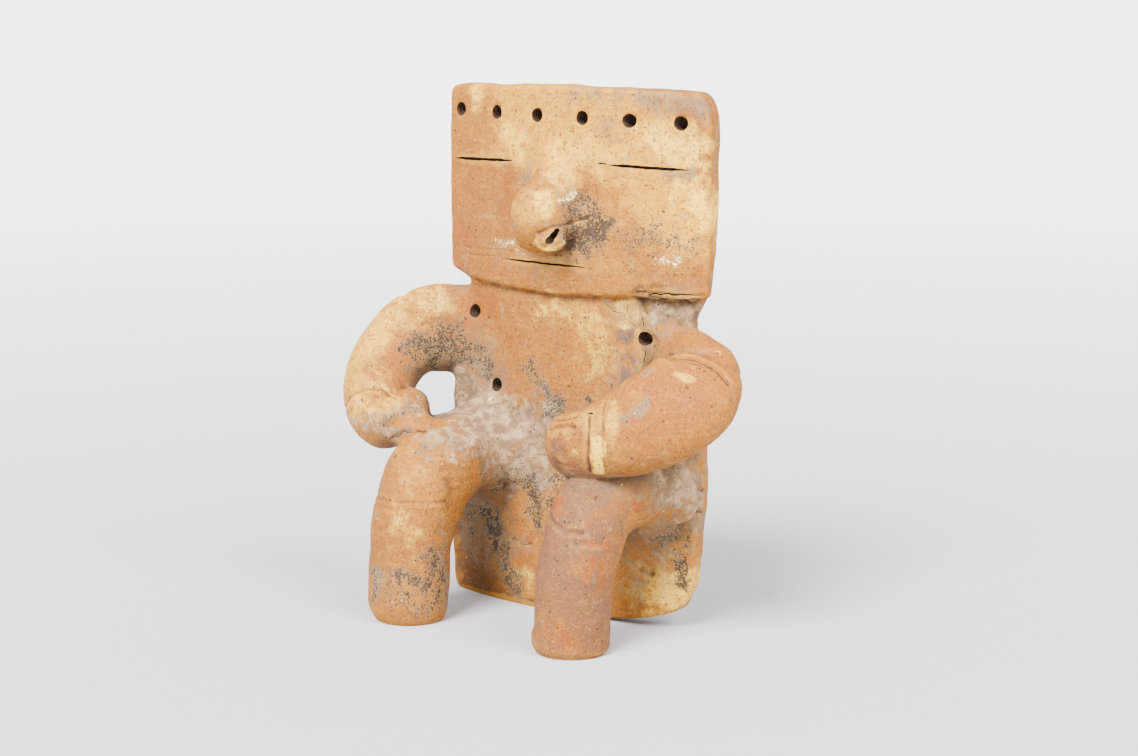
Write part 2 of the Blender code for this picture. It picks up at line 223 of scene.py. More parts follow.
def rounded(corners):
    """The outline with an arc in place of each corner."""
    points = []
    for index, (x, z, radius) in enumerate(corners):
        here = Vector((x, z))
        before = Vector(corners[index - 1][:2]) - here
        after = Vector(corners[(index + 1) % len(corners)][:2]) - here
        half_turn = before.angle(after) / 2
        if radius <= 0 or half_turn > NEARLY_STRAIGHT:
            points.append(here)
            continue
        reach = min(radius / math.tan(half_turn), before.length * MOST_OF_A_SIDE,
                    after.length * MOST_OF_A_SIDE)
        start = here + before.normalized() * reach
        end = here + after.normalized() * reach
        for step in range(ARC_STEPS + 1):
            t = step / ARC_STEPS
            points.append(start * (1 - t) ** 2 + here * 2 * t * (1 - t) + end * t ** 2)
    return points


def trimmed_plate(name, corners, thickness):
    outline = rounded(corners)
    plate = fresh(bpy.ops.mesh.primitive_circle_add, name, vertices=len(outline), radius=50,
                  fill_type="NGON")
    for vertex, (x, z) in zip(plate.data.vertices, outline):
        vertex.co = (x, thickness / 2, z)
    bpy.ops.object.mode_set(mode="EDIT")
    bpy.ops.mesh.select_all(action="SELECT")
    bpy.ops.mesh.extrude_region_move(TRANSFORM_OT_translate={"value": (0, -thickness, 0)})
    bpy.ops.object.mode_set(mode="OBJECT")
    facing_out(plate)
    edges_along(plate, 1, along=False)
    bpy.ops.mesh.bevel(offset=EDGE_ROUND, segments=4, affect="EDGES")
    bpy.ops.object.mode_set(mode="OBJECT")
    return shaped_by(plate, "REMESH", mode="VOXEL", voxel_size=CLAY_GRAIN)


# %% Trim the plates and bend them
THINNED_HEIGHT = 0.66


def bent(plate, thickness, front, thin_corner=None):
    """Bends a plate with its face at a distance front of the slab's middle. The head's back
    comes forward towards its lower corner at +X, where the real edge is thin."""
    points = read_points(plate.data)
    across, out, up = points[:, 0].copy(), points[:, 1].copy(), points[:, 2].copy()
    behind = thickness / 2 + out
    if thin_corner:
        down = np.clip(1 - (up - up.min()) / (THINNED_HEIGHT * np.ptp(up)), 0, 1)
        aside = np.clip(across / EDGE, 0, None)
        behind = behind * (1 - (1 - thin_corner / thickness) * down * aside ** 2)
    reach = BEND_RADIUS + front - behind
    points[:, 0] = reach * np.sin(across / BEND_RADIUS)
    points[:, 1] = BEND_RADIUS - reach * np.cos(across / BEND_RADIUS)
    write_points(plate.data, points)
    return plate


body_front = BODY_THICKNESS / 2
clay = [
    bent(trimmed_plate("head", HEAD_OUTLINE, HEAD_THICKNESS), HEAD_THICKNESS,
         body_front + CHIN_STEP, CORNER_THICKNESS),
    bent(trimmed_plate("body", BODY_OUTLINE, BODY_THICKNESS), BODY_THICKNESS, body_front),
    bent(trimmed_plate("neck", NECK_OUTLINE, NECK_THICKNESS), NECK_THICKNESS,
         body_front - NECK_SET_BACK)]
print("plates:", [(plate.name, len(plate.data.vertices)) for plate in clay])

# %% [markdown]
# ## Rolled limbs
# Each limb is a roll of clay, thick where it leaves the slab and bent by hand. A cylinder's
# upright edges are subdivided into rings, and each ring is carried to its place on a smooth
# path through a few stations. A station gives its distance outside the slab's side edge, its
# y and z, and half the roll's size across and deep.

# %% Stations along the limbs
LEFT_ARM = [
    (26, 3, 129, 15, 4), (10, 4, 127, 20.5, 7), (-2, -2, 126.3, 22.2, 11),
    (-12, -10, 122.8, 20.7, 14), (-17.5, -19, 114, 18.5, 15.5), (-18.5, -27, 104, 18, 16),
    (-15.5, -33, 94.5, 17.5, 15.5), (-8, -37, 88.5, 15.5, 14.5), (1, -39, 86, 12, 11.5),
    (5, -40, 85, 7, 7)]
RIGHT_UPPER_ARM = [
    (-30, 2, 125, 11, 4), (-14, 3, 124.5, 14, 9), (-3, -2, 121.5, 16, 12), (6, -6, 118, 16, 12),
    (10, -12, 114, 12, 10)]
RIGHT_FOREARM = [
    (9, -2, 119, 6, 5), (9.5, -7, 118, 14, 10), (8.5, -14, 116, 19.5, 13.5),
    (5, -23, 111, 22, 14.5), (-2, -32, 104.5, 21.5, 14.5), (-11, -39, 98.5, 19.5, 14),
    (-23, -43, 93.5, 16.8, 13), (-36, -45, 90.3, 14.6, 11.5), (-45, -45, 89, 12.8, 9.5),
    (-49.5, -44, 88.5, 8, 6)]
LEFT_LEG = [
    (25, 6, 74, 16, 17), (25, -10, 72, 18, 19), (24, -28, 70, 19.5, 19.5), (23, -42, 64, 21, 20),
    (22, -50, 49, 19.5, 19.4), (21, -53.5, 33, 18.8, 18.8), (20.6, -54, 17, 18.5, 18.5),
    (20.2, -54, 5, 18, 18), (19.8, -54, 0, 15, 15), (19.8, -54, -2.2, 10, 10)]
RIGHT_LEG = [
    (-26, 6, 73, 16, 17), (-27, -10, 70, 18, 18), (-29, -27, 67, 18.5, 18),
    (-31, -40, 61, 18.5, 17.6), (-31.6, -48, 48, 18, 17.4), (-32, -53, 34, 17, 16.8),
    (-32.2, -54, 20, 16.6, 16.6), (-32.6, -54, 9, 16.8, 16.8), (-33.5, -54, 4, 17.2, 17.2),
    (-33.8, -54, 0, 15, 15), (-33.8, -54, -2.2, 10, 10)]


def smooth_path(stations, steps=6):
    """A Catmull-Rom curve through the stations."""
    rows = np.array(stations, float)
    path = []
    for index in range(len(rows) - 1):
        p0, p1, p2 = rows[max(index - 1, 0)], rows[index], rows[index + 1]
        p3 = rows[min(index + 2, len(rows) - 1)]
        for step in range(steps):
            t = step / steps
            bend = (2 * p0 - 5 * p1 + 4 * p2 - p3) * t * t + (3 * p1 - p0 - 3 * p2 + p3) * t ** 3
            path.append(p1 + 0.5 * ((p2 - p0) * t + bend))
    path.append(rows[-1])
    return path


# %% Roll the limbs
ROLL_SIDES = 36


def rolled(name, side, stations, deep_side):
    path = smooth_path([(side * EDGE + x, y, z, across, deep)
                        for x, y, z, across, deep in stations])
    rings = len(path)
    roll = fresh(bpy.ops.mesh.primitive_cylinder_add, name, vertices=ROLL_SIDES, radius=1,
                 depth=rings - 1)
    edges_along(roll, 2)
    bpy.ops.mesh.subdivide(number_cuts=rings - 2)
    bpy.ops.object.mode_set(mode="OBJECT")
    for vertex in roll.data.vertices:
        ring = round(vertex.co.z + (rings - 1) / 2)
        centre = Vector(path[ring][:3])
        ahead = Vector(path[min(ring + 1, rings - 1)][:3])
        before = Vector(path[max(ring - 1, 0)][:3])
        tangent = (ahead - before).normalized()
        deep = (deep_side - tangent * deep_side.dot(tangent)).normalized()
        aside = tangent.cross(deep) * vertex.co.x * path[ring][3]
        vertex.co = centre + aside + deep * vertex.co.y * path[ring][4]
    facing_out(roll)
    return roll


clay += [
    rolled("left_arm", LEFT, LEFT_ARM, FRONT),
    rolled("right_upper_arm", RIGHT, RIGHT_UPPER_ARM, FRONT),
    rolled("right_forearm", RIGHT, RIGHT_FOREARM, FRONT),
    rolled("left_leg", LEFT, LEFT_LEG, SIDEWAYS),
    rolled("right_leg", RIGHT, RIGHT_LEG, SIDEWAYS)]
print("rolls:", [(roll.name, len(roll.data.vertices)) for roll in clay[3:]])

# %% [markdown]
# ## Pinches of clay
# Soft clay is worked in where a limb meets the slab, and the hooked nose is a few pinches on
# the head's face: a bridge, a full bulb and a lip round each nostril. Each pinch is a sphere
# drawn out along its three axes.

# %% Pinches at the joins and the nose
FILLETS = [
    (-EDGE + 25.5, -6, 83, 19, 9, 13), (-EDGE + 44.5, -5, 72, 11, 8, 15),
    (-EDGE + 21.5, -5, 56, 16, 9, 9), (EDGE - 28.5, -8, 82, 18, 11, 14),
    (EDGE - 49.5, -5, 70, 12, 8, 15), (EDGE - 27.5, -5, 53, 15, 9, 9),
    (EDGE - 10.5, -4, 66, 9, 8, 16), (-EDGE + 1.5, -30, 91, 9, 11, 11),
    (-EDGE + 11.5, -35, 87, 8, 7, 6), (-EDGE + 10.5, -16, 84, 8, 8, 5),
    (-EDGE + 7.5, 2, 96, 5, 6, 10),
    (-EDGE + 5, -37, 81, 7, 6.5, 5.5)]
NOSE_X = -5.0
NOSE = [
    ("nose_bridge", NOSE_X + 2.5, 197.5, 0, (10.5, 11, 15)),
    ("nose_bulb", NOSE_X, 185, 5, (14.6, 15.5, 18)),
    ("left_nostril_lip", NOSE_X - 5, 174.5, 8, (6, 8, 5)),
    ("right_nostril_lip", NOSE_X + 7.5, 175, 10, (6.5, 8.5, 5.2))]


def pinch(name, centre, half_sizes):
    ball = fresh(bpy.ops.mesh.primitive_uv_sphere_add, name, segments=40, ring_count=24,
                 radius=1, location=centre, scale=half_sizes)
    bpy.ops.object.transform_apply(location=True, rotation=True, scale=True)
    return ball


for x, y, z, wide, deep, tall in FILLETS:
    clay.append(pinch("worked_in", (x, y, z), (wide, deep, tall)))
for name, along, z, out, half_sizes in NOSE:
    clay.append(pinch(name, head_front(along, z, out), half_sizes))
print(len(FILLETS), "fillets and", len(NOSE), "pieces of the nose")

# %% [markdown]
# ## One body of clay
# Joined and remeshed with voxels, the pieces become one skin. The seams between them are then
# rubbed out with a Smooth modifier that a vertex group holds to the joins, as a wet thumb
# does, so the slab's crisp edges stay.

# %% Join and rub the seams smooth
JOINS = [
    (-EDGE + 25.5, -8, 88, 26), (-EDGE + 25.5, -8, 55, 20), (-EDGE + 47.5, -8, 72, 20),
    (EDGE - 27.5, -8, 86, 26), (EDGE - 27.5, -8, 52, 20), (EDGE - 49.5, -8, 70, 20),
    (EDGE - 9.5, -6, 66, 20), (-EDGE + 3.5, -4, 128, 28), (-EDGE + 11.5, -2, 106, 14),
    (EDGE - 25.5, -4, 128, 16), (EDGE - 31.5, -14, 98, 18), (-EDGE + 7.5, -36, 88, 16),
    (-5, -6, 204, 20), (18, -8, 184, 16), (-26, -10, 190, 10)]

figure = joined(clay, "clay_figure")
shaped_by(figure, "REMESH", mode="VOXEL", voxel_size=CLAY_GRAIN)

points = read_points(figure.data)
weight = np.zeros(len(points))
for x, y, z, reach in JOINS:
    away = np.linalg.norm(points - (x, y, z), axis=1)
    weight = np.maximum(weight, 1 - (away / reach) ** 2)
group = figure.vertex_groups.new(name="joins")
LEVELS = 12
steps = np.ceil(np.clip(weight, 0, 1) * LEVELS).astype(int)
for level in range(1, LEVELS + 1):
    group.add(np.flatnonzero(steps == level).tolist(), level / LEVELS, "REPLACE")
shaped_by(figure, "SMOOTH", factor=0.5, iterations=420, vertex_group="joins")
shaped_by(figure, "SMOOTH", factor=0.5, iterations=10)
print("skin of clay:", len(figure.data.vertices), "vertices")

# %% [markdown]
# ## Marks of the hands and tools
# Creases, bands and grooves are strokes pressed into the surface. Each stroke is a row of
# points that is first dropped on to the clay. Every vertex near it then moves along its
# normal, most at the middle of the stroke. A negative depth raises a ridge.

# %% Strokes: points, half width, depth
CHEEK_LINES = [[(-68.5, 0, 165.7), (-50, -4, 166.4), (-34, -6.6, 166.9)],
               [(-66, -1, 163), (-50, -4, 163.2), (-36.7, -6.2, 163.8)]]
KNEE_GROOVE = [(26, -52, 62), (36, -64, 59.5), (45, -68, 57.5), (52, -62, 56)]
MARKS = [
    # left knee: two thin bands run round the leg
    ([(-75, -54, 57), (-63, -70, 58.5), (-48, -75, 59.5), (-33, -66, 58), (-28, -54, 57)],
     1.4, 0.5),
    ([(-75, -54, 53.5), (-63, -70, 55), (-48, -75, 56), (-33, -66, 54.5)], 1.3, 0.35),
    # right knee: an oblique groove and a short one lower down
    (KNEE_GROOVE, 2.2, 0.8),
    ([(50, -64, 52), (59, -56, 51)], 2.2, 0.55),
    # left shoulder: a deep fold, and the band over the elbow
    ([(-95, -6, 138), (-90, -10, 139.5), (-84, -20, 140), (-74, -26, 139), (-66, -26, 136)],
     3.4, 1.1),
    ([(-106, -33, 88), (-97, -40, 92), (-91, -44, 98), (-82, -46, 103), (-68, -45, 107)],
     1.8, 0.8),
    ([(-71, -43, 81), (-65, -39, 82.6), (-58, -42, 84), (-51, -44, 86.4)], 1.8, 0.9),
    # right wrist: two grooves with a ridge between them
    ([(47.9, -51, 106), (50, -53.6, 99.5), (50.6, -55, 92), (49.3, -52, 81)], 1.5, 0.95),
    ([(54, -46, 110), (57, -54, 100), (57.6, -54.5, 92), (56.5, -52, 81)], 1.4, 0.55),
    # fingers of the right hand
    ([(30, -50, 101.2), (35, -51, 102), (41, -51, 104)], 1.5, 0.75),
    ([(28, -51.6, 96.6), (32, -53, 98.6), (36.5, -53.5, 99.7), (42, -54, 100)], 1.6, 0.8),
    ([(33, -55, 92.5), (38.3, -55.8, 95), (43.5, -55.6, 97.3)], 1.5, 0.5),
    ([(31, -54.8, 90), (38.2, -55.7, 88.3)], 3.2, 0.7),
    ([(33.4, -54.4, 83), (41, -54.5, 82.8)], 1.7, 0.4),
    # the nose: a fold over the right nostril, the nostril's rim and its hollow
    ([(1, -26.3, 179), (6, -22.7, 181.2), (9.9, -12.3, 182.4), (15, -8.6, 185)], 1.4, 0.6),
    ([(0.9, -26.2, 176.5), (0.7, -25.2, 172.8), (3, -23.1, 170.9), (6.4, -20.3, 171.4),
      (8.5, -16.8, 174)], 1.9, -0.8),
    ([(3.4, -23, 174.3), (7.4, -19.4, 177.6)], 2.3, 0.9),
    # right shoulder: the forearm's end is lapped over the upper arm
    ([(55, -12, 127), (62, -20, 130), (72, -24, 133), (84, -22, 134), (95, -20, 130),
      (101, -18, 122)], 2.4, 1.3),
    ([(54, -14, 123), (62, -24, 126), (74, -29, 129), (86, -28, 130)], 3.2, -0.8),
    ([(47, -6, 131), (46, -6, 124), (45, -8, 117)], 4.5, 1.8),
    # chin's lower edge at the right: torn layers
    ([(40, -6, 153), (52, -4, 153.5), (64, -1, 153), (71, 2, 154)], 0.9, 0.7),
    ([(46, -5, 151), (58, -2, 151), (69, 1, 151.5)], 0.9, 0.8),
    # two faint strokes on the left cheek
    *[(line, 1.0, 0.22) for line in CHEEK_LINES],
    # rough strip on the chest
    ([(35, -6, 133), (34, -6, 120), (32.5, -6, 108)], 3.0, 0.35),
    # dents at the slab's edges
    ([(69.5, 2, 66), (70, 6, 65)], 2.4, 1.0),
    ([(68, 2, 56), (68, 6, 55)], 2.0, 0.8),
    ([(42, -3, 26), (46, -2, 25)], 4.0, 0.9),
    ([(71, 2, 238), (74, 6, 230)], 5.0, 0.8),
    ([(-20, -8, 30), (-32, -6, 30.5)], 0.9, 0.4)]


def dropped(item, stroke):
    points = []
    for start, end in zip(stroke, stroke[1:]):
        for step in range(8):
            place = Vector(start).lerp(Vector(end), step / 8)
            points.append(tuple(item.closest_point_on_mesh(place)[1]))
    points.append(tuple(item.closest_point_on_mesh(Vector(stroke[-1]))[1]))
    return np.array(points)


def distance_to(points, path):
    """Each point's distance to a row of straight pieces."""
    best = np.full(len(points), np.inf)
    for start, end in zip(path, path[1:]):
        step = end - start
        length = max(step @ step, 1e-9)
        share = np.clip((points - start) @ step / length, 0, 1)
        best = np.minimum(best, np.linalg.norm(points - start - share[:, None] * step, axis=1))
    return best


def pressed(item, marks):
    points = read_points(item.data)
    normals = read_points(item.data, "normal")
    start = points.copy()
    for stroke, half_width, depth in marks:
        path = dropped(item, stroke)
        near = (np.abs(start - path.mean(axis=0)) < np.ptp(path, axis=0) / 2 + 8).all(axis=1)
        push = np.clip(1 - (distance_to(start[near], path) / half_width) ** 2, 0, 1) ** 2 * depth
        points[near] -= normals[near] * push[:, None]
    write_points(item.data, points)


pressed(figure, MARKS)
print(len(MARKS), "strokes pressed in")

# %% [markdown]
# ## Rims of the holes
# The stick drew the clay in with it, so each hole has a softened rim. A hole is noted as its
# place along the slab, its height, and whether it goes through the head.

# %% Soften the rims
RIM_REACH = 0.78 * HOLE_DIAMETER
RIM_DEPTH = 1.3
HOLES = [(FIRST_HOLE + index * HOLE_SPACING, HEIGHT - HOLE_BELOW_TOP - index * ROW_DROP, True)
         for index in range(HOLE_COUNT)]
HOLES += [(-EDGE + 18.7, 136.1, False), (EDGE - 29.9, 132.1, False), (-EDGE + 32.3, 102.7, False)]
rims = []
for along, z, in_head in HOLES:
    place = head_front(along, z, 1) if in_head else on_slab(along, z, BODY_THICKNESS / 2)
    rims.append(([tuple(place), tuple(place)], RIM_REACH, RIM_DEPTH))
pressed(figure, rims)
print(len(rims), "rims softened")

# %% [markdown]
# ## The unevenness of handwork
# No hand-built surface is true: it swells and sinks by a few tenths of a millimetre over a
# thumb's width, and dry grit and grass burnt out leave it finely rough. Two sizes of noise
# move the surface along its normals, and fade out near the ground, where it stands true.

# %% Thumb-wide swellings and fine roughness
SWELL_WIDTH, SWELL = 22.0, 0.9
RUB_WIDTH, RUB = 6.0, 0.3
TRUE_BELOW = 4.0

points = read_points(figure.data)
normals = read_points(figure.data, "normal")
lift = np.array([SWELL * noise.noise(Vector(point) / SWELL_WIDTH)
                 + RUB * noise.noise(Vector(point) / RUB_WIDTH) for point in points])
ground = np.clip(points[:, 2] / TRUE_BELOW, 0, 1)
write_points(figure.data, points + normals * (lift * ground)[:, None])
shaped_by(figure, "DECIMATE", ratio=min(1.0, TRIANGLES / (2 * len(figure.data.polygons))),
          use_collapse_triangulate=True)
print("figure:", len(figure.data.polygons), "triangles, swellings of",
      round(float(np.ptp(lift)), 2), "mm")

# %% [markdown]
# ## Holes, slits and cracks
# A stick made the holes and a blade made each eye and the mouth with a single stroke. Cracks
# opened where the clay dried unevenly. Every cutter is modelled, then all are joined and taken
# out with one exact Boolean, which gives the cut walls their own material, painted dark as the
# shade inside them. A bisection at the ground gives the flat underside that the figure stands on.

# %% Cutters: points on the clay, width, depth, and how far a crack wavers
SLITS = [
    ((-EDGE * 0.9, 207.2), (-EDGE * 0.38, 208.2), SLIT_WIDTH, SLIT_DEPTH),
    ((EDGE * 0.34, 208.8), (EDGE * 0.85, 208), SLIT_WIDTH, SLIT_DEPTH),
    ((EDGE * 0.27, 209.4), (EDGE * 0.33, 209.2), 0.8, 1.2),
    ((-EDGE * 0.45, 162.8), (EDGE * 0.18, 162.4), 1.1, 2.4)]
CRACKS = [
    ([(20, -7, 148), (27, -7, 144), (32, -7, 141.5)], 0.5, 0.9, 0.8),
    ([(34.5, -7, 147.5), (33.8, -7, 143.5)], 0.45, 0.8, 0.3),
    ([(35, -7, 139.5), (38.5, -6, 137.2)], 0.45, 0.8, 0.3),
    ([(42, -4, 143), (42.5, -6, 137.5)], 0.5, 0.9, 0.3),
    ([(44.5, -6, 127), (45, -6, 122), (47, -8, 118.5)], 0.5, 1.0, 0.5),
    ([(63, -23, 134), (72, -27, 133), (82, -26, 134), (92, -23, 131), (99, -20, 124)],
     0.6, 0.9, 0.9),
    ([(41, -7, 153.4), (50, -4, 152.9), (60, -2, 153.4), (70, 1, 153.4)], 0.7, 1.4, 0.7),
    ([(47, -5, 150.4), (58, -2, 150.4), (68, 1, 150.6)], 0.8, 1.6, 0.5),
    ([(-21, -8, 30), (-33, -6, 30.5)], 0.4, 0.5, 0.3),
    ([(-71, -43, 81), (-65, -39, 82.6), (-58, -42, 84)], 0.5, 0.9, 1.0),
    ([(46.6, -51, 106.2), (50.2, -51, 106)], 0.9, 1.0, 0.2),
    *[(line, 0.3, 0.3, 0.5) for line in CHEEK_LINES]]


STICK_SIDES, STICK_UNEVENNESS = 24, 0.09
BLADE_STEPS = 16


def stick(start, end, radius):
    """A round cutter between two points, not quite true, as a cut twig is."""
    cutter = fresh(bpy.ops.mesh.primitive_cylinder_add, "stick", vertices=STICK_SIDES,
                   radius=radius, depth=(end - start).length)
    for vertex in cutter.data.vertices:
        spot = Vector((vertex.co.x, vertex.co.y, start.x))
        uneven = 1 + STICK_UNEVENNESS * noise.noise(spot / radius)
        vertex.co.x *= uneven
        vertex.co.y *= uneven
    cutter.rotation_euler = (end - start).to_track_quat("Z", "Y").to_euler()
    cutter.location = (start + end) / 2
    bpy.ops.object.transform_apply(location=True, rotation=True, scale=True)
    return cutter


def blade_cut(path, width, depth, waver=0.0):
    """A thin bar along points on the clay, tapered to both ends and to its depth."""
    rows = np.array(path, float)
    lengths = np.concatenate([[0], np.cumsum(np.linalg.norm(np.diff(rows, axis=0), axis=1))])
    places = []
    for share in np.linspace(0, 1, BLADE_STEPS + 1):
        row = Vector([np.interp(share * lengths[-1], lengths, rows[:, axis]) for axis in range(3)])
        places.append(figure.closest_point_on_mesh(row)[1:3])
    level = sum((normal for place, normal in places), Vector()).normalized()
    cutter = fresh(bpy.ops.mesh.primitive_cube_add, "blade", size=1)
    edges_along(cutter, 0)
    bpy.ops.mesh.subdivide(number_cuts=BLADE_STEPS - 1)
    bpy.ops.object.mode_set(mode="OBJECT")
    for vertex in cutter.data.vertices:
        ring = round((vertex.co.x + 0.5) * BLADE_STEPS)
        place = places[ring][0]
        normal = (places[ring][1] * 0.2 + level * 0.8).normalized()
        ahead = places[min(ring + 1, BLADE_STEPS)][0] - places[max(ring - 1, 0)][0]
        aside = normal.cross(ahead).normalized()
        full = min(1.0, 0.35 + 4 * (0.5 - abs(vertex.co.x)))
        shift = waver * noise.noise(place / 2.2)
        half = width / 2 * full * (1 + 0.4 * noise.noise(place / 1.7))
        out = 0.8
        if vertex.co.y > 0:
            half *= 0.45
            out = -depth * full
        vertex.co = place + normal * out + aside * (math.copysign(half, vertex.co.z) + shift)
    return cutter


# The stick was held aslant at the right, by 5.5 mm at either end
STICK_IN_FRONT, STICK_BEHIND = 36, -42
ASLANT, ASLANT_PAST = 5.5, 35
NOSTRIL_STICKS = ((0, 1.8), (1.5, 1.5), (2.8, 1.1))

cutters = []
for along, z, in_head in HOLES:
    surface = head_front if in_head else on_slab
    lean = ASLANT if along > ASLANT_PAST else 0.0
    cutters.append(stick(surface(along - lean, z, STICK_IN_FRONT),
                         surface(along + lean, z, STICK_BEHIND), HOLE_DIAMETER / 2))
for side in (LEFT, RIGHT):
    for shift, radius in NOSTRIL_STICKS:
        cutters.append(stick(head_front(NOSE_X + side * (13 + shift), 173 + shift, 24),
                             head_front(NOSE_X + side * (8 + shift * 0.7), 178 + shift, 8), radius))
for start, end, width, depth in SLITS:
    path = [head_front(*start), head_front(*end)]
    cutters.append(blade_cut(path, width, depth, 0.25))
for path, width, depth, waver in CRACKS:
    cutters.append(blade_cut(path, width, depth, waver))
print(len(cutters), "cutters")

# %% Cut them all at once
cutter = joined(cutters, "cutter")
facing_out(cutter)
spare = fresh(bpy.ops.mesh.primitive_cube_add, "spare", size=1, location=(0, 0, -60))
shaped_by(cutter, "BOOLEAN", operation="UNION", solver="EXACT", object=spare, use_self=True)
bpy.data.objects.remove(spare, do_unlink=True)
# The cut walls get their own material: painted shade for the inside of the holes and slits.
for item, finish in ((figure, "low_fired_earthenware"), (cutter, "painted_shade_in_the_holes")):
    item.data.materials.clear()
    item.data.materials.append(bpy.data.materials.new(finish))
shaped_by(figure, "BOOLEAN", operation="DIFFERENCE", solver="EXACT", object=cutter,
          material_mode="TRANSFER")
bpy.data.objects.remove(cutter, do_unlink=True)
bpy.ops.object.mode_set(mode="EDIT")
bpy.ops.mesh.select_all(action="SELECT")
bpy.ops.mesh.bisect(plane_co=(0, 0, 0), plane_no=(0, 0, 1), clear_inner=True, use_fill=True)
bpy.ops.object.mode_set(mode="OBJECT")
shaped_by(figure, "TRIANGULATE")
assert len(figure.data.polygons) > TRIANGLES / 2, "the cuts took the figure away"
print("after the cuts:", len(figure.data.polygons), "triangles")
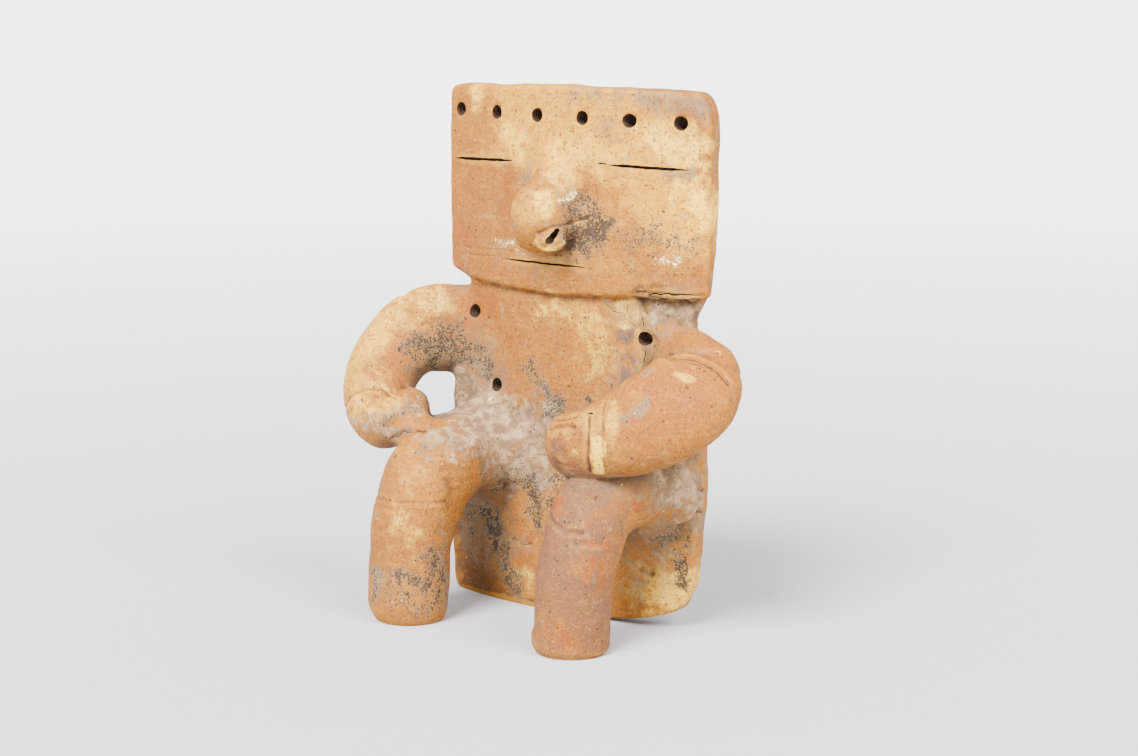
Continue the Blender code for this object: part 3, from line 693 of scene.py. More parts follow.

# %% [markdown]
# ## Where the fire and the years left their colours
# A low open fire colours clay unevenly: cream and orange where air reached it, grey clouds
# where it did not, soot in speckles, ash in the lap. Lime from the ground left white crusts.
# Some brown stains are also painted shade, and a few pale ones on the nose a painted highlight.
# Each stain is one point or a path of points, each x, y and z in millimetres, then its reach
# and its strength. It becomes a number on every vertex that the material reads, its border
# made ragged by noise.

# %% Stains: x, y, z of each point, reach, strength
STAINS = {
    "orange": [
        (-46, -5, 233, 12, 0.6), (-60, -2, 211, -59, -3, 188, 14, 0.5),
        (-62, -2, 172, -60, -2, 161, 13, 0.8), (-30, -7, 203, -31, -7, 188, 6, 0.9),
        (16, -8, 196, 9, 0.7), (70, 0, 202, 9, 0.5), (-40, -6, 159, -18, -8, 158, 10, 0.5),
        (72, 1, 163, 72, 2, 155, 6, 0.8), (8, -3, 229, 5, 0.6), (33, -2, 228, 5, 0.6),
        (57, 4, 228, 5, 0.6), (-57, -1, 141, -44, -3, 140, 9, 1), (-68, -9, 126, -58, -2, 126, 6, 1),
        (-79, -28, 121, -75, -28, 110, 8, 0.9), (-41, -3, 114, -35, -4, 103, 10, 0.8),
        (-26, -5, 123, -2, -6, 112, 16, 0.4), (-14, -6, 100, -2, -6, 98, 7, 0.6),
        (-70, -40, 79, -51, -44, 86, 4, 0.9), (83, -7, 134, 93, -17, 123, 12, 0.8),
        (72, -40, 119, 85, -29, 124, 13, 0.85), (73, -49, 104, 89, -35, 110, 15, 0.75),
        (34, -51, 102, 42, -56, 88, 9, 0.6), (54, -1, 137, 72, -10, 133, 9, 0.6),
        (-66, 2, 9, -58, 0, 12, 7, 0.5), (-30, -4, 40, -20, -5, 22, 8, 0.8), (-36, -61, 30, 3, 0.9),
        (-51, -72, 12, -40, -62, 0, 8, 0.5), (62, -45, 116, 62, -34, 123, 5, 0.8),
        (-35, -60, 38, 4, 0.5), (-47, -70, 45, 9, 0.4)],
    "cream": [
        (-51, -4, 237, 7, 0.7), (-27, -7, 218, 11, 0.6), (49, -4, 221, 65, -1, 217, 11, 0.8),
        (0, -9, 215, 32, -7, 211, 9, 0.5), (65, -1, 197, 74, 4, 189, 9, 0.8),
        # Both stains on this line, on the nose's front, are partly cream clay and partly a painted
        # highlight.
        (1, -24, 195, 4, -25, 189, 5, 0.6), (1, -11, 208, 4, -14, 201, 6, 0.5),
        (-92, -24, 131, -101, -39, 111, 13, 0.35), (-82, -43, 104, -73, -46, 96, 9, 0.4),
        (-93, -12, 141, -71, -8, 139, 10, 0.5), (31, -4, 144, 36, -4, 140, 6, 1.1),
        (-11, -6, 143, 1, -6, 143, 7, 0.5), (14, -6, 134, 20, -5, 121, 11, 0.4),
        (48, -2, 18, 64, 3, 22, 13, 0.65), (50, -1, 6, 9, 0.5),
        (0.7, -25, 173, 3, -23, 171, 6.4, -20, 171.4, 8.3, -17, 174, 2.4, 1.4),
        (54.5, -55, 94, 53.3, -52, 82, 3.4, 1.5), (60, -48, 110, 61, -53, 100, 4, 0.45),
        (-84, -44, 92, -73, -46, 92, 7, 0.8), (79, -32, 123, 85, -30, 122, 3, 0.5),
        (-47, -60, 75, -40, -61, 67, 9, 0.2), (-45, -69, 50, -39, -66, 43, 7, 0.4),
        (65, -1, 186, 8, 0.5), (49, -4, 181, 6, 0.3), (41, -3, 120, 2.2, 1), (44, -56, 90, 2.5, 0.7),
        (86, -8, 132, 3, 0.5), (-27, -5, 16, -20, -5, 15, 5, 0.5)],
    "cloud": [
        (2, -8, 240, 31, -7, 239, 6, 0.55), (41, -5, 239, 69, 0, 239, 6.5, 0.8),
        (69, 0, 233, 73, 2, 237, 4.5, 0.9), (21, -8, 228, 28, -7, 221, 6, 0.5), (49, -4, 226, 6, 0.35),
        (54, -4, 207, 66, -1, 207, 2.8, 0.9), (-21, -8, 199, -17, -9, 203, 2.5, 0.8),
        (45, 0, 146, 62, 4, 145, 7, 1.2), (62, -21, 76, 65, -13, 64, 10, 0.8),
        (59, -7, 50, 67, 6, 51, 7, 1), (68, -4, 76, 8, 0.5), (-34, -52, 32, -38, -46, 4, 4.5, 0.8),
        (-56, -72, 25, -56, -72, 16, 4, 0.9), (-33, -55, 49, -34, -50, 36, 4, 0.6),
        (70, -48, 109, 73, -45, 112, 3, 1.3), (66, -51, 106, 2.2, 1), (67, -35, 124, 3.5, 0.6),
        (40, -3, 31, 41, -3, 12, 5, 0.4), (63, -23, 67, 69, 3, 66, 9, 0.5)],
    "ash": [
        (-60, -6, 92, -40, -12, 90, -20, -8, 84, 13, 0.9), (-20, -8, 90, -5, -7, 74, 11, 0.9),
        (-44, -48, 86, -30, -30, 84, 11, 0.7), (-30, -14, 66, -14, -6, 66, 9, 0.8),
        (-63, 1, 103, -50, -7, 95, 6, 1), (-42, -7, 95, -27, -8, 86, 10, 1.1),
        (-40, -25, 87, -30, -15, 77, 9, 1), (-20, -9, 73, -17, -6, 63, 8, 0.9),
        (-43, -36, 87, -41, -52, 80, 6, 0.7), (-10, -6, 102, -2, -6, 80, 5, 0.9),
        (-74, -49, 87, -66, -34, 94, 6, 0.6), (48, -2, 144, 66, 4, 143, 5.5, 1.4),
        (62, -10, 77, 68, 0, 62, 12, 0.9), (46, -4, 46, 54, -2, 40, 8, 0.6),
        (-36, -22, 76, -30, -12, 62, 9, 0.8), (-84, -44, 88, -72, -46, 90, 7, 1.0),
        (-29, -16, 68, -32, -5, 54, 7, 0.7), (64, -15, 73, 8, 0.6), (-65, -5, 117, -52, -1, 109, 5, 0.6),
        (-25, -10, 80, 8, 0.6), (-34, -43, 77, 7, 0.5)],
    "soot": [
        (34, -6, 130, 33, -6, 112, 4, 0.9), (50, -2, 40, 50, -2, 28, 9, 0.5),
        (10, -12, 190, 15, -9, 184, 8, 1.3), (22, -8, 180, 7, -12, 174, 9, 1.5), (28, -7, 183, 7.5, 1.5),
        (40, -6, 177, 50, -4, 181, 8, 0.95), (57, -3, 175, 66, -1, 177, 6, 0.9),
        (-37, -6, 192, -41, -6, 183, 5, 0.45), (3, -9, 168, 12, -8, 170, 4, 0.7),
        (-76, -24, 118, -66, -7, 124, 10, 1.15), (-72, -14, 111, -61, -2, 118, 9, 1.2),
        (-61, -2, 121, -47, -2, 108, 8, 1.15), (-26, -5, 130, 20, -5, 125, 24, 0.22),
        (-2, -6, 147, 6, -6, 141, 7, 0.5), (-22, -5, 112, -9, -6, 103, 7, 1),
        (-10, -6, 104, 0, -6, 82, 8, 1.2), (12, -6, 103, 16, -6, 101, 2.2, 1.2),
        (-71, -46, 89, -66, -34, 95, 5, 0.9), (-50, -62, 72, 3.5, 0.6),
        (-30, -27, 67, -55, -1, 36, 6, 0.7), (-48, -2, 40, -40, -3, 24, 9, 1.25),
        (-37, -4, 22, -26, -5, 2, 9, 1.1), (-22, -5, 60, -14, -6, 42, 9, 1.3),
        (-60, 0, 70, -62, 1, 30, 10, 0.9), (0, -6, 66, -8, -6, 52, 8, 1.1),
        (-25, -10, 66, -40, -8, 60, 9, 0.9), (5, -6, 90, 14, -6, 70, 7, 0.8),
        (-69, 2, 21, -55, -1, 16, 5, 0.5), (-45, -70, 24, -37, -63, 19, 6, 1.25),
        (-58, -72, 27, -57, -72, 11, 5, 1), (-46, -71, 18, -36, -59, 7, 12, 0.75),
        (-35, -58, 36, -35, -55, 12, 7, 1.1), (-37, -46, 60, -36, -44, 30, 6, 0.8),
        (61, 1, 33, 62, 1, 24, 5, 1.4), (52, -2, 44, 64, 1, 42, 7, 1), (59, -29, 57, 4, 0.3),
        (-5, -6, 67, -11, -6, 62, 4, 0.6), (69, -6, 63, 8, 0.3), (-26, -5, 144, 6, 0.3),
        (24, -7, 237, 10, 0.12), (51, -4, 186, 16, 0.25), (-50, -4, 175, 12, 0.3), (47, -56, 95, 3, 0.2),
        (48, -3, 123, 51, -3, 130, 5, 0.6), (66, -35, 124, 3.5, 0.5)],
    "lime": [
        (33, -6, 112, 32.5, -6, 107, 3, 0.9), (-39, -6, 170, -28, -7, 169, 3.6, 1.1),
        (-27, -7, 167, -14, -5, 163, 3.4, 0.9), (49, -4, 167, 63, -2, 169, 3.6, 1.1),
        # The middle stain on this line, on the nose's upper right, is partly lime and partly a painted
        # highlight.
        (65, -1, 171, 4, 0.9), (7, -16, 195, 9, -12, 192, 3.4, 1), (10, -9, 198, 16, -8, 195, 4, 0.5),
        (54.5, -55, 92, 53.3, -52, 82, 2.4, 0.9), (48.5, -52, 104, 50.5, -53, 100, 1.4, 0.9),
        # Both stains on this line, on the nose's front, are partly lime and partly a painted highlight.
        (6.5, -17, 192, 8.7, -11, 195, 4, 1.2), (4.7, -23.8, 191, 2, -25, 188, 4, 0.5),
        (82, -42, 107, 83, -42, 102, 1.6, 0.9), (-33, -7, 164, 0, -9, 167, 4, 0.6),
        (-46, -5, 97, -43, -7, 95, 3, 0.9), (41, -62, 59, 43, -62, 58, 2, 0.9),
        (70, 0, 173, 71, 0, 178, 3.5, 0.6), (4, -14, 201, 21, -8, 193, 9, 0.35), (65, -1, 204, 10, 0.25),
        (-32, -13, 83, -23, -10, 77, 7, 0.5), (-11, -9, 166, 3, 0.6)],
    "brown": [
        # The second stain on this line, down the slab's left side beside the left leg, is partly dirt
        # and partly painted shade.
        (-66, 2, 3, -40, -4, 1, -16, -5, 1, 6, 1.0), (-64, 1, 66, -60, 0, 45, -56, -1, 14, 16, 1.2),
        # The first stain on this line, on the slab between the legs by the left leg, is partly dirt and
        # partly painted shade.
        (-44, -3, 62, -38, -3, 10, 12, 0.7), (26, -52, 62, 36, -64, 59.5, 45, -68, 57.5, 1.3, 1.0),
        # The second stain on this line, along the chin's torn lower edge, is partly dirt and partly
        # painted shadow under the chin.
        (-50, -44, 84, -44, -30, 80, 5, 0.3), (41, -6, 151.5, 55, -3, 151, 70, 1, 151, 4.2, 1.7),
        # This line along the chin's lower edge is partly dirt and partly the chin's painted shadow.
        (-62, 0, 149.5, -30, -5, 148.5, 0, -6, 148, 40, -6, 148.5, 1.8, 0.8),
        (-74, -38, 81, -66, -40, 81, 3.5, 0.8), (42, -2, 46, 62, 2, 44, 6, 0.6),
        # Both stains on this line, from the lap down the slab behind the left leg, are partly dirt and
        # partly painted shade.
        (-31, -30, 75, -55, -3, 46, 7, 0.9), (-47, -6, 47, -61, 1, 35, 7, 0.5),
        (-34, -50, 71, -32, -51, 57, 3, 0.8), (41, -53, 74, 52, -49, 74, 5, 0.7),
        (-71, -43, 81, -62, -40, 83, 1.6, 1.2), (-70, -10, 116, -69, -6, 111, 6, 0.6),
        # The first stain on this line, at the chin's right end, is partly dirt and partly painted shadow
        # under the chin.
        (69, 2, 151, 49, -4, 154, 3, 0.6), (32, -55, 85, 38, -50, 76, 3, 0.7)],
    "buff": [
        (-25, -8, 234, 30, -7, 224, 27, 0.9), (-15, -8, 212, 10, -8, 208, 16, 0.8),
        (45, -4, 200, 62, -2, 186, 19, 0.9), (-5, -20, 192, 14, 0.55),
        (-20, -8, 162, 30, -8, 163, 8, 0.4), (-92, -24, 131, -104, -39, 108, 18, 0.55),
        (-80, -48, 92, 10, 0.45), (-52, -55, 80, -44, -64, 66, 12, 0.25), (15, -6, 140, 14, 0.5),
        (75, -45, 118, 10, 0.3), (10, 12, 215, 40, 0.6), (-40, 12, 60, 30, 0.4),
        (-20, 48, 200, 30, 48, 125, -10, 48, 45, 42, 1.0)],
    "worn": [
        (28, -52, 70, 30, -58, 60, 4, 0.9), (44, -71, 12, 50, -70, 6, 6, 0.7),
        (56, -60, 44, 55, -63, 37, 2.2, 1.1), (58, -56, 43, 58, -56, 33, 2.5, 1.1),
        (33, -52, 71, 38, -60, 63, 4, 0.9), (52, -58, 60, 59, -44, 66, 3, 0.8),
        (61, -35, 67, 55, -29, 52, 4, 0.9), (39, -71, 8, 55, -60, 2, 9, 0.4),
        (46, -70, 16, 57, -56, 13, 7, 0.45), (55, -60, 51, 58, -53, 49, 2.5, 0.9)],
    "mauve": [
        (41, -48, 74, 42, -56, 56, 41, -56, 34, 41, -54, 12, 22, 0.9),
        (58, -36, 70, 60, -20, 66, 9, 0.5), (-50, -30, 84, -40, -10, 84, 8, 0.5),
        (33, -55, 90.5, 36.5, -56, 89.5, 4.2, 1.2)],
    "yellow": [
        (48, -2, 18, 64, 3, 22, 16, 0.2), (60, 0, 42, 66, 2, 30, 9, 0.15),
        (-92, -24, 131, -101, -39, 111, -92, -46, 92, 15, 0.7), (46, -52, 106, 50, -52, 98, 6, 0.8),
        (57, -50, 104, 62, -52, 98, 6, 0.6), (31, -50, 102.5, 38, -50, 104.5, 3, 1),
        # The second stain on this line, on the nose's front, is partly yellow clay and partly a painted
        # highlight.
        (29.5, -53, 95, 38, -55, 98, 3, 1.1), (1, -25, 190, 5, -22, 194, 6, 0.9),
        (66, -48, 96, 63, -50, 90, 4, 0.6), (38, -4, 144, 42, -4, 140, 7, 0.8), (-30, -4, 12, 6, 0.3)],
    "strip": [
        (34, -6, 133, 34, -6, 120, 32.5, -6, 108, 4.0, 1.7)]}


def store(mesh, name, values):
    attribute = mesh.attributes.new(name, "FLOAT", "POINT")
    attribute.data.foreach_set("value", np.asarray(values, dtype=np.float32))


points = read_points(figure.data)
COARSE_RAG, FINE_RAG = 7.0, 2.6
RAG_SHARE, MOST_RAG = 0.85, 7.0
SOFT_BORDER = 1.35

ragged = np.array([noise.noise_vector(Vector(point) / COARSE_RAG)
                   + 0.5 * noise.noise_vector(Vector(point) / FINE_RAG) for point in points])
for name, stains in STAINS.items():
    total = np.zeros(len(points))
    for *path, reach, strength in stains:
        rows = np.array(path if len(path) > 3 else path * 2, float).reshape(-1, 3)
        away = distance_to(points + ragged * min(reach * RAG_SHARE, MOST_RAG), rows) / reach
        total = np.maximum(total, strength * np.clip(SOFT_BORDER - away, 0, 1))
    store(figure.data, name, total)
    print(name, len(stains), "stains cover", round(float((total > 0.3).mean() * 100), 1), "%")

# %% [markdown]
# ## Hollows and worn edges
# Brown in hollows is partly dirt and partly painted shade, and rubbing lightens what stands out.
# How far each vertex lies below a smoothed copy of the surface says which it is, in
# millimetres. The holes' own rims are left out, so that no ring shows round them.

# %% Measure hollows
def softened(mesh, values, rounds):
    """Every vertex's values averaged with its neighbours', a few rounds over."""
    ends = np.empty(len(mesh.edges) * 2, dtype=np.int64)
    mesh.edges.foreach_get("vertices", ends)
    a, b = ends[0::2], ends[1::2]
    count = np.bincount(ends, minlength=len(values)).astype(float)
    soft = values.copy()
    for _ in range(rounds):
        total = [np.bincount(a, soft[b, axis], len(soft)) + np.bincount(b, soft[a, axis], len(soft))
                 for axis in range(soft.shape[1])]
        soft = np.stack(total, axis=1) / count[:, None]
    return soft


HOLLOW_ROUNDS = 5
RIM_RADIUS, RIM_FADE = 4.5, 2.5

normals = read_points(figure.data, "normal")
depth_below = ((softened(figure.data, points, HOLLOW_ROUNDS) - points) * normals).sum(axis=1)
for along, z, in_head in HOLES:
    surface = head_front if in_head else on_slab
    axis_line = np.array([surface(along, z, 20), surface(along, z, -30)])
    depth_below *= np.clip((distance_to(points, axis_line) - RIM_RADIUS) / RIM_FADE, 0, 1)
store(figure.data, "hollow", np.clip(depth_below, -1, 1))
print("hollows measured on", len(figure.data.vertices), "vertices")

# %% [markdown]
# ## Occlusion for painted shade
# The figure shades itself between the legs, in the lap and under the arms, and that shade is
# painted into the clay's colour, with some grey dust. From every vertex a spread of rays is sent
# out, and the share that the figure itself stops within a hand's width says how occluded the
# place is.

# %% Measure occlusion for the painted shade
RAYS, OCCLUSION_REACH = 24, 45.0
SPIRAL_TURN = 2.4
OFF_THE_CLAY, CLEAR_OF_IT = 0.6, 0.25
OCCLUSION_ROUNDS = 12
spread = []
for index in range(RAYS):
    rise = 1 - (index + 0.5) * 2 / RAYS
    flat = math.sqrt(1 - rise * rise)
    turn = SPIRAL_TURN * index
    spread.append(Vector((flat * math.cos(turn), flat * math.sin(turn), rise)))
skin = BVHTree.FromObject(figure, bpy.context.evaluated_depsgraph_get())
stopped = np.zeros((len(points), 1))
for index, (point, normal) in enumerate(zip(points, normals)):
    out = Vector(normal)
    start = Vector(point) + out * OFF_THE_CLAY
    rays = [ray for ray in spread if ray.dot(out) > CLEAR_OF_IT]
    hits = [ray for ray in rays if skin.ray_cast(start, ray, OCCLUSION_REACH)[0]]
    stopped[index] = len(hits) / max(len(rays), 1)
occlusion_shade = softened(figure.data, stopped, OCCLUSION_ROUNDS)[:, 0]
store(figure.data, "occlusion_shade", occlusion_shade)
print("sheltered by more than half:", round(float((occlusion_shade > 0.5).mean() * 100), 1), "%")

# %% [markdown]
# ## Turn millimetres to metres
# The figure is scaled once and the scale is applied, so the object stays at the origin,
# unscaled, and patterns on its Object coordinates keep their real size.

# %% Real size
alone(figure)
figure.scale = (0.001, 0.001, 0.001)
bpy.ops.object.transform_apply(location=True, rotation=True, scale=True)
bpy.ops.object.shade_smooth_by_angle(angle=math.radians(50))
low, high = read_points(figure.data).min(axis=0), read_points(figure.data).max(axis=0)
print("figure from", low.round(4).tolist(), "to", high.round(4).tolist(), "m")

# %% [markdown]
# ## Low-fired earthenware
# The clay is iron-bearing earthenware, rubbed with a pebble when leather-hard and fired at
# about 700 degrees in the open. It stays porous, so it is matt, with a soft sheen where the
# pebble closed its surface. Its IOR is that of fired clay, about 1.5, and open pores take
# most of its mirror shine away. Colours are sRGB hex values that one function turns to
# linear, and every pattern's scale is one over its size in metres.

# %% Colours and the node helpers
def linear(hex_value):
    channels = [int(hex_value[i:i + 2], 16) / 255 for i in (0, 2, 4)]
    return [c / 12.92 if c <= 0.04045 else ((c + 0.055) / 1.055) ** 2.4 for c in channels] + [1.0]


COLOURS = {
    "buff": "C38820", "peach": "935C18", "tan": "7D4B1C", "orange": "824815", "cream": "F2C242",
    "pale": "F0CC74", "worn": "803E12", "yellow": "AE8028", "cloud": "6E604C", "ash": "66503B",
    "ash_light": "A88B69", "soot": "231B13", "smoke": "2C2823", "lime": "F9F4B8",
    # The last colour on this line is the painted shade of the hole walls.
    "brown": "3A2617", "strip": "5A423A", "mauve": "60402F", "hole_shade": "38271A",
    # The last two colours go where the figure occludes itself: a painted shade, and a grey that is dust
    # and painted shade together.
    "painted_shade": "44382E", "dust_and_painted_shade": "8A7050"}


def set_inputs(node, inputs):
    """Links a socket to an input, or sets the input's own value."""
    for key, value in inputs.items():
        if isinstance(value, bpy.types.NodeSocket):
            tree.links.new(value, node.inputs[key])
        else:
            node.inputs[key].default_value = value
    return node


def add_node(kind, inputs=None, **settings):
    """Adds a node to the tree at hand, with its settings, values and links."""
    node = tree.nodes.new("ShaderNode" + kind)
    for name, value in settings.items():
        setattr(node, name, value)
    return set_inputs(node, inputs or {})


# %% [markdown]
# ## Patterns of the clay
# Grit, grass burnt out and the maker's rubbing all leave their own grain, and each is noise of
# a size in millimetres. Together with the stains and the measured hollows and shelter they
# say where each layer of colour shows: some are added up by weights, and the sum is spread
# from a low to a high value.

# %% Patterns of the fired clay: size in mm, detail, roughness, warp
GRAINS = {
    "wide": (42, 3, 0.5, 0), "mottle": (12, 5, 0.62, 0.6), "patchy": (4.5, 5, 0.66, 0.4),
    "blotch": (3.0, 5, 0.7, 0.3), "fine": (1.6, 4, 0.65, 0), "grit": (0.75, 2, 0.5, 0),
    "rubbing": (1.9, 4, 0.6, 0)}
RUBBED_ALONG = (0.14, 0.14, 1.0)

clay_material = figure.data.materials[0]
clay_material.use_nodes = True
tree = clay_material.node_tree
place = add_node("TexCoord").outputs["Object"]
streaked = add_node("Mapping", {
    "Vector": place, "Scale": RUBBED_ALONG}).outputs[0]
patterns = {}
for name, (size_mm, detail, roughness, warp) in GRAINS.items():
    patterns[name] = add_node("TexNoise", {
        "Vector": streaked if name == "rubbing" else place, "Scale": 1000 / size_mm,
        "Detail": detail, "Roughness": roughness, "Distortion": warp}).outputs["Fac"]
for name in (*STAINS, "hollow", "occlusion_shade"):
    patterns[name] = add_node("Attribute", attribute_name=name).outputs["Fac"]


def added(parts):
    """The sum of some patterns, each times its weight."""
    total = 0.0
    for name, weight in parts.items():
        total = add_node("Math", {0: patterns[name], 1: weight, 2: total},
                         operation="MULTIPLY_ADD").outputs[0]
    return total


def share(parts, low, high, most=1.0, least=0.0, within=None):
    """How much of a layer shows: its patterns' sum, spread from low to high."""
    spread_out = add_node("MapRange", {
        "Value": added(parts), "From Min": low, "From Max": high, "To Min": least,
        "To Max": most}, interpolation_type="SMOOTHSTEP").outputs[0]
    if within is None:
        return spread_out
    return add_node("Math", {0: spread_out, 1: within},
                    operation="MULTIPLY").outputs[0]


def specks(size_mm, chance, radius, seed, strength=1.0):
    """Round specks: cells of one size, of which a share holds a speck."""
    moved = add_node("Mapping", {
        "Vector": place, "Location": (seed, seed, 0)}).outputs[0]
    cells = add_node("TexVoronoi", {"Vector": moved, "Scale": 1000 / size_mm})
    luck = add_node("SeparateColor", {"Color": cells.outputs["Color"]}).outputs[0]
    patterns.update({"luck": luck, "from middle": cells.outputs["Distance"]})
    patterns["radius"] = share({"luck": 1}, 1 - chance, 1, radius, 0.3 * radius)
    chosen = add_node("Math", {0: luck, 1: 1 - chance},
                      operation="GREATER_THAN").outputs[0]
    return share({"from middle": 1, "radius": -1}, -0.06, 0.03, 0.0, strength, chosen)


def layered(under, shown, colour):
    """Lays one colour over another by how much of it shows."""
    names = {6: under, 7: colour}
    return add_node("Mix", {0: shown} | {
        key: linear(COLOURS[value]) if isinstance(value, str) else value
        for key, value in names.items()}, data_type="RGBA").outputs[2]


print(len(patterns), "patterns, grains from", GRAINS["grit"][0], "to", GRAINS["wide"][0], "mm")

# %% [markdown]
# ## Layers of the finish
# The layers follow what happened to the clay: its own mottled body, the fire's cream, orange
# and grey, then ash, soot, lime and dirt on top. Painted shade, with some grey dust, is laid
# in occluded places, in hollows and in some brown stains. Pits and grit go into the bump as well.

# %% The clay body, the colours of the fire and the painted shade: patterns, low, high, most
WARMTH = {"mottle": 0.75, "wide": 0.55, "patchy": 0.35}
FRECKLES = {"fine": 0.7, "grit": 0.45}
# How occluded a place is, for the painted shade and grey dust
SHADE_AND_DUST = {"occlusion_shade": 1, "patchy": 0.7}
FIRE_AND_PAINTED_SHADE_LAYERS = [
    ("tan", WARMTH, 0.7, 0.95, 1), ("orange", WARMTH, 0.93, 1.1, 0.6),
    ("buff", {"buff": 1, "mottle": 2.2}, 1.15, 2.05, 0.9), ("buff", {"patchy": 1}, 0.52, 0.74, 0.35),
    ("tan", {"blotch": 1}, 0.5, 0.34, 0.5), ("pale", {"rubbing": 1}, 0.56, 0.8, 0.2),
    ("yellow", {"yellow": 1, "mottle": 1}, 0.6, 1.4, 0.85),
    ("mauve", {"mauve": 1, "mottle": 0.9}, 0.55, 1.2, 0.95),
    ("orange", {"orange": 1, "patchy": 1.4}, 0.75, 1.65, 0.9),
    ("worn", {"worn": 1, "patchy": 1.3}, 0.95, 1.4, 0.8),
    ("cream", {"cream": 1, "patchy": 1.5}, 0.85, 1.7, 0.85),
    ("cloud", {"cloud": 1, "patchy": 2}, 1.05, 1.9, 0.78),
    # The brown stains are dirt, and beside the left leg, between the legs, in the lap and under the chin
    # also painted shade.
    ("brown", {"brown": 1, "patchy": 1.5}, 0.8, 1.7, 0.85),
    ("orange", FRECKLES, 0.57, 0.7, 0.65), ("brown", FRECKLES, 0.645, 0.77, 0.65),
    ("buff", FRECKLES, 0.54, 0.4, 0.3), ("brown", {"grit": 1}, 0.56, 0.76, 0.45),
    ("buff", {"grit": 1}, 0.44, 0.24, 0.22),
    # The last two layers are painted shade in occluded places, the first of them with grey dust.
    ("dust_and_painted_shade", SHADE_AND_DUST, 0.45, 0.77, 0.42), ("painted_shade", SHADE_AND_DUST, 0.53, 0.95, 0.72)]
colour = "peach"
for name, parts, low, high, most in FIRE_AND_PAINTED_SHADE_LAYERS:
    colour = layered(colour, share(parts, low, high, most), name)

# %% Ash, the rough strip, soot, lime and dirt
SOOT_GRAIN = {"patchy": 0.45, "grit": 0.85, "fine": 0.55, "soot": 0.27}
LIME_GRAIN = {"fine": 0.8, "grit": 0.4, "lime": 0.34}

ashes = share({"ash": 1, "patchy": 1.7}, 1.0, 1.6, 0.92)
ash_tone = layered("ash", share({"patchy": 0.7, "mottle": 0.5}, 0.5, 0.78), "ash_light")
colour = layered(colour, ashes, ash_tone)
colour = layered(colour, share({"strip": 1, "patchy": 2.2}, 1.3, 2.05, 0.75), "strip")
haze = share(SOOT_GRAIN, 1.025, 1.225, within=share({"soot": 1}, 0.1, 0.9, 0.6))
colour = layered(colour, haze, "cloud")
soots = share(SOOT_GRAIN, 1.175, 1.275, within=share({"soot": 1}, 0.02, 0.3, 0.82))
colour = layered(colour, soots, layered("soot", share({"patchy": 1}, 0.4, 0.6), "smoke"))
limes = share(LIME_GRAIN, 0.93, 1.08, within=share({"lime": 1}, 0.05, 0.5, 0.85))
colour = layered(colour, limes, "lime")
dark_specks = add_node("Math", {
    0: specks(2.4, 0.42, 0.23, 0.0), 1: specks(5.5, 0.45, 0.15, 0.31)},
    operation="MAXIMUM").outputs[0]
colour = layered(colour, share({"patchy": 1}, 0.42, 0.58, 0.9, 0.15, dark_specks), "brown")
colour = layered(colour, specks(4.2, 0.12, 0.12, 0.77, 0.45), "pale")
# Brown in hollows: partly dirt, partly painted shade. Buff on what stands out: wear.
colour = layered(colour, share({"hollow": 1}, 0.05, 0.35, 0.8), "brown")
colour = layered(colour, share({"hollow": 1}, -0.12, -0.4, 0.3), "buff")

# %% Gloss and relief
polish = share({"mottle": 0.6, "rubbing": 0.5}, 0.4, 0.75, 0.52, 0.8)
crust = add_node("Math", {0: soots, 1: ashes}, operation="MAXIMUM").outputs[0]
rough = add_node("Math", {0: crust, 1: 0.3, 2: polish}, operation="MULTIPLY_ADD",
                 use_clamp=True).outputs[0]
ash_grain = add_node("Math", {0: ashes, 1: patterns["fine"]},
                     operation="MULTIPLY").outputs[0]
patterns.update({"dark specks": dark_specks, "limes": limes, "soots": soots, "ash grain": ash_grain})
height = added({"fine": 0.5, "grit": 0.35, "rubbing": 0.3, "patchy": 0.5, "dark specks": -0.9,
                "limes": 0.3, "soots": -0.3, "ash grain": 0.8})
bump = add_node("Bump", {"Height": height, "Strength": 0.85, "Distance": 0.0005})
set_inputs(tree.nodes["Principled BSDF"], {
    "Base Color": colour, "Roughness": rough, "Normal": bump.outputs[0], "IOR": 1.5,
    "Specular IOR Level": 0.15, "Metallic": 0.0})
print("fired clay with", len(tree.nodes), "nodes")

# %% [markdown]
# ## Painted shade in the holes
# The walls of the stick's holes and the blade's slits are coloured dark brown, nearly black, as
# painted shade for the inside of the holes, with paler crumbs spread over them.

# %% Walls of the holes
CRUMB_SIZE = 1.2

hole_shade_material = figure.data.materials[1]
hole_shade_material.use_nodes = True
tree = hole_shade_material.node_tree
place = add_node("TexCoord").outputs["Object"]
crumbs = add_node("TexNoise", {
    "Vector": place, "Scale": 1000 / CRUMB_SIZE, "Detail": 4.0, "Roughness": 0.6}).outputs["Fac"]
crumb_share = add_node("MapRange", {
    "Value": crumbs, "From Min": 0.5, "From Max": 0.72}).outputs[0]
bump = add_node("Bump", {"Height": crumbs, "Strength": 0.6, "Distance": 0.0006})
# Painted shade for the hole walls, flecked with paler crumbs.
set_inputs(tree.nodes["Principled BSDF"], {
    "Base Color": layered("hole_shade", crumb_share, "strip"), "Normal": bump.outputs[0],
    "Roughness": 0.95, "Specular IOR Level": 0.1})
print("earth in the holes with", len(tree.nodes), "nodes")

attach(figure, "root")
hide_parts("slab_figure")

# %% [markdown]
# ## The studio
# A wide sheet of paper meets a pale surround without a horizon. Its colour is painted grey-white
# under the figure and whiter further off, a painted fall-off of light. Two large soft lights from
# both sides of the camera leave soft shadows between the legs and on the paper.

# %% Paper
PAPER_SIZE = 120
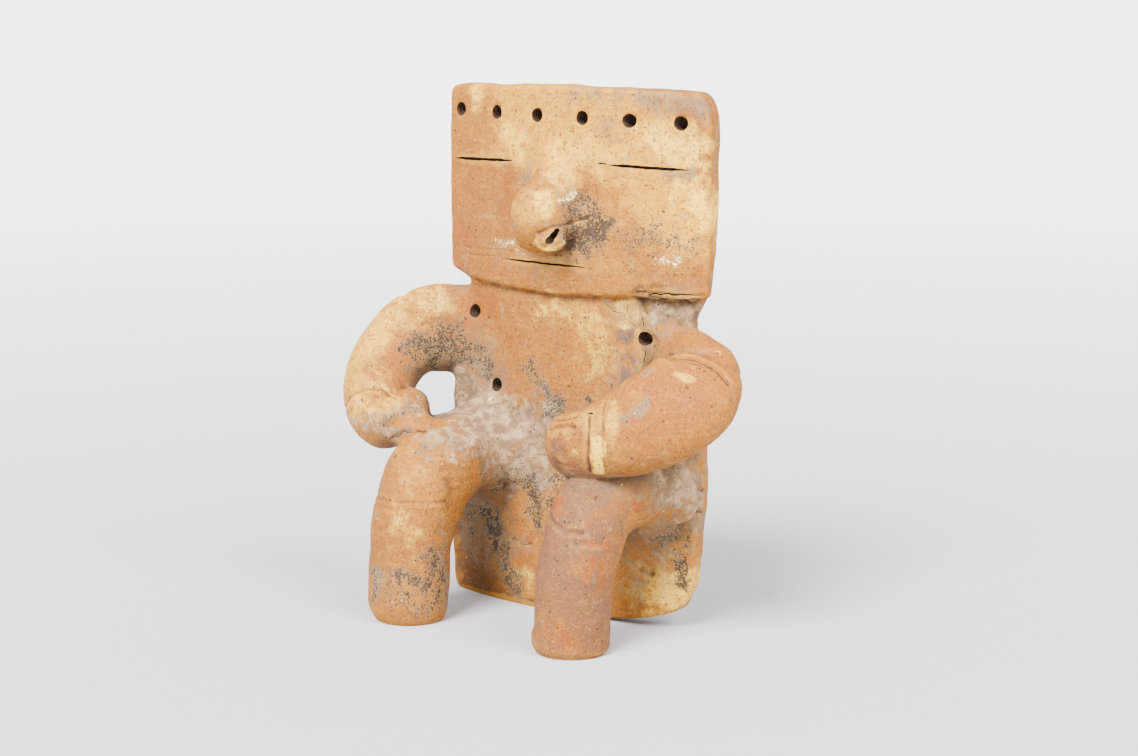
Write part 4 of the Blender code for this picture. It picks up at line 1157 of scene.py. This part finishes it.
# Paper colours near the figure and far off: a painted fall-off of light, darker near and brighter far.
PAPER_IN_PAINTED_SHADE, PAPER_IN_PAINTED_LIGHT = "B0AFB1", "F1F0F1"
NEAR_REACH, FAR_REACH = 0.05, 2.4

floor = fresh(bpy.ops.mesh.primitive_plane_add, "studio_paper", size=PAPER_SIZE,
              location=(0, 0, 0))
paper = bpy.data.materials.new("matt_white_paper")
paper.use_nodes = True
tree = paper.node_tree
place = add_node("TexCoord").outputs["Object"]
away = add_node("VectorMath", {0: place}, operation="LENGTH").outputs["Value"]
far = add_node("MapRange", {
    "Value": away, "From Min": NEAR_REACH, "From Max": FAR_REACH},
    interpolation_type="SMOOTHSTEP").outputs[0]
# The painted light on the paper grows from the near colour to the far colour with distance.
painted_light_on_paper = add_node("Mix", {0: far, 6: linear(PAPER_IN_PAINTED_SHADE), 7: linear(PAPER_IN_PAINTED_LIGHT)},
                data_type="RGBA").outputs[2]
set_inputs(tree.nodes["Principled BSDF"], {
    "Base Color": painted_light_on_paper, "Roughness": 0.9, "Specular IOR Level": 0.1})
floor.data.materials.append(paper)
print("paper", PAPER_SIZE, "m wide")

# %% Lights
def soft_sun(name, azimuth, elevation, strength, softness):
    """A soft light far off. Azimuth 0 is in front of the figure."""
    light = fresh(bpy.ops.object.light_add, name, type="SUN", location=(0, -2, 2))
    light.data.energy = strength
    light.data.angle = math.radians(softness)
    light.rotation_euler = (math.radians(90 - elevation), 0, math.radians(azimuth))


soft_sun("left_soft_light", 4, 47, 13.5, 28)
soft_sun("right_soft_light", 80, 42, 6.0, 34)

GLOW_LOW, GLOW_HIGH, GLOW_TOP = 5.0, 1.3, 0.22
world = bpy.data.worlds.new("pale_surround")
world.use_nodes = True
tree = world.node_tree
direction = add_node("TexCoord").outputs["Generated"]
up = add_node("SeparateXYZ", {0: direction}).outputs[2]
fade = add_node("MapRange", {
    "Value": up, "From Min": 0.0, "From Max": GLOW_TOP, "To Min": GLOW_LOW, "To Max": GLOW_HIGH},
    interpolation_type="SMOOTHSTEP").outputs[0]
set_inputs(tree.nodes["Background"], {"Strength": fade, "Color": (1.0, 0.995, 1.0, 1.0)})
bpy.context.scene.world = world
print("two soft lights and a pale surround")
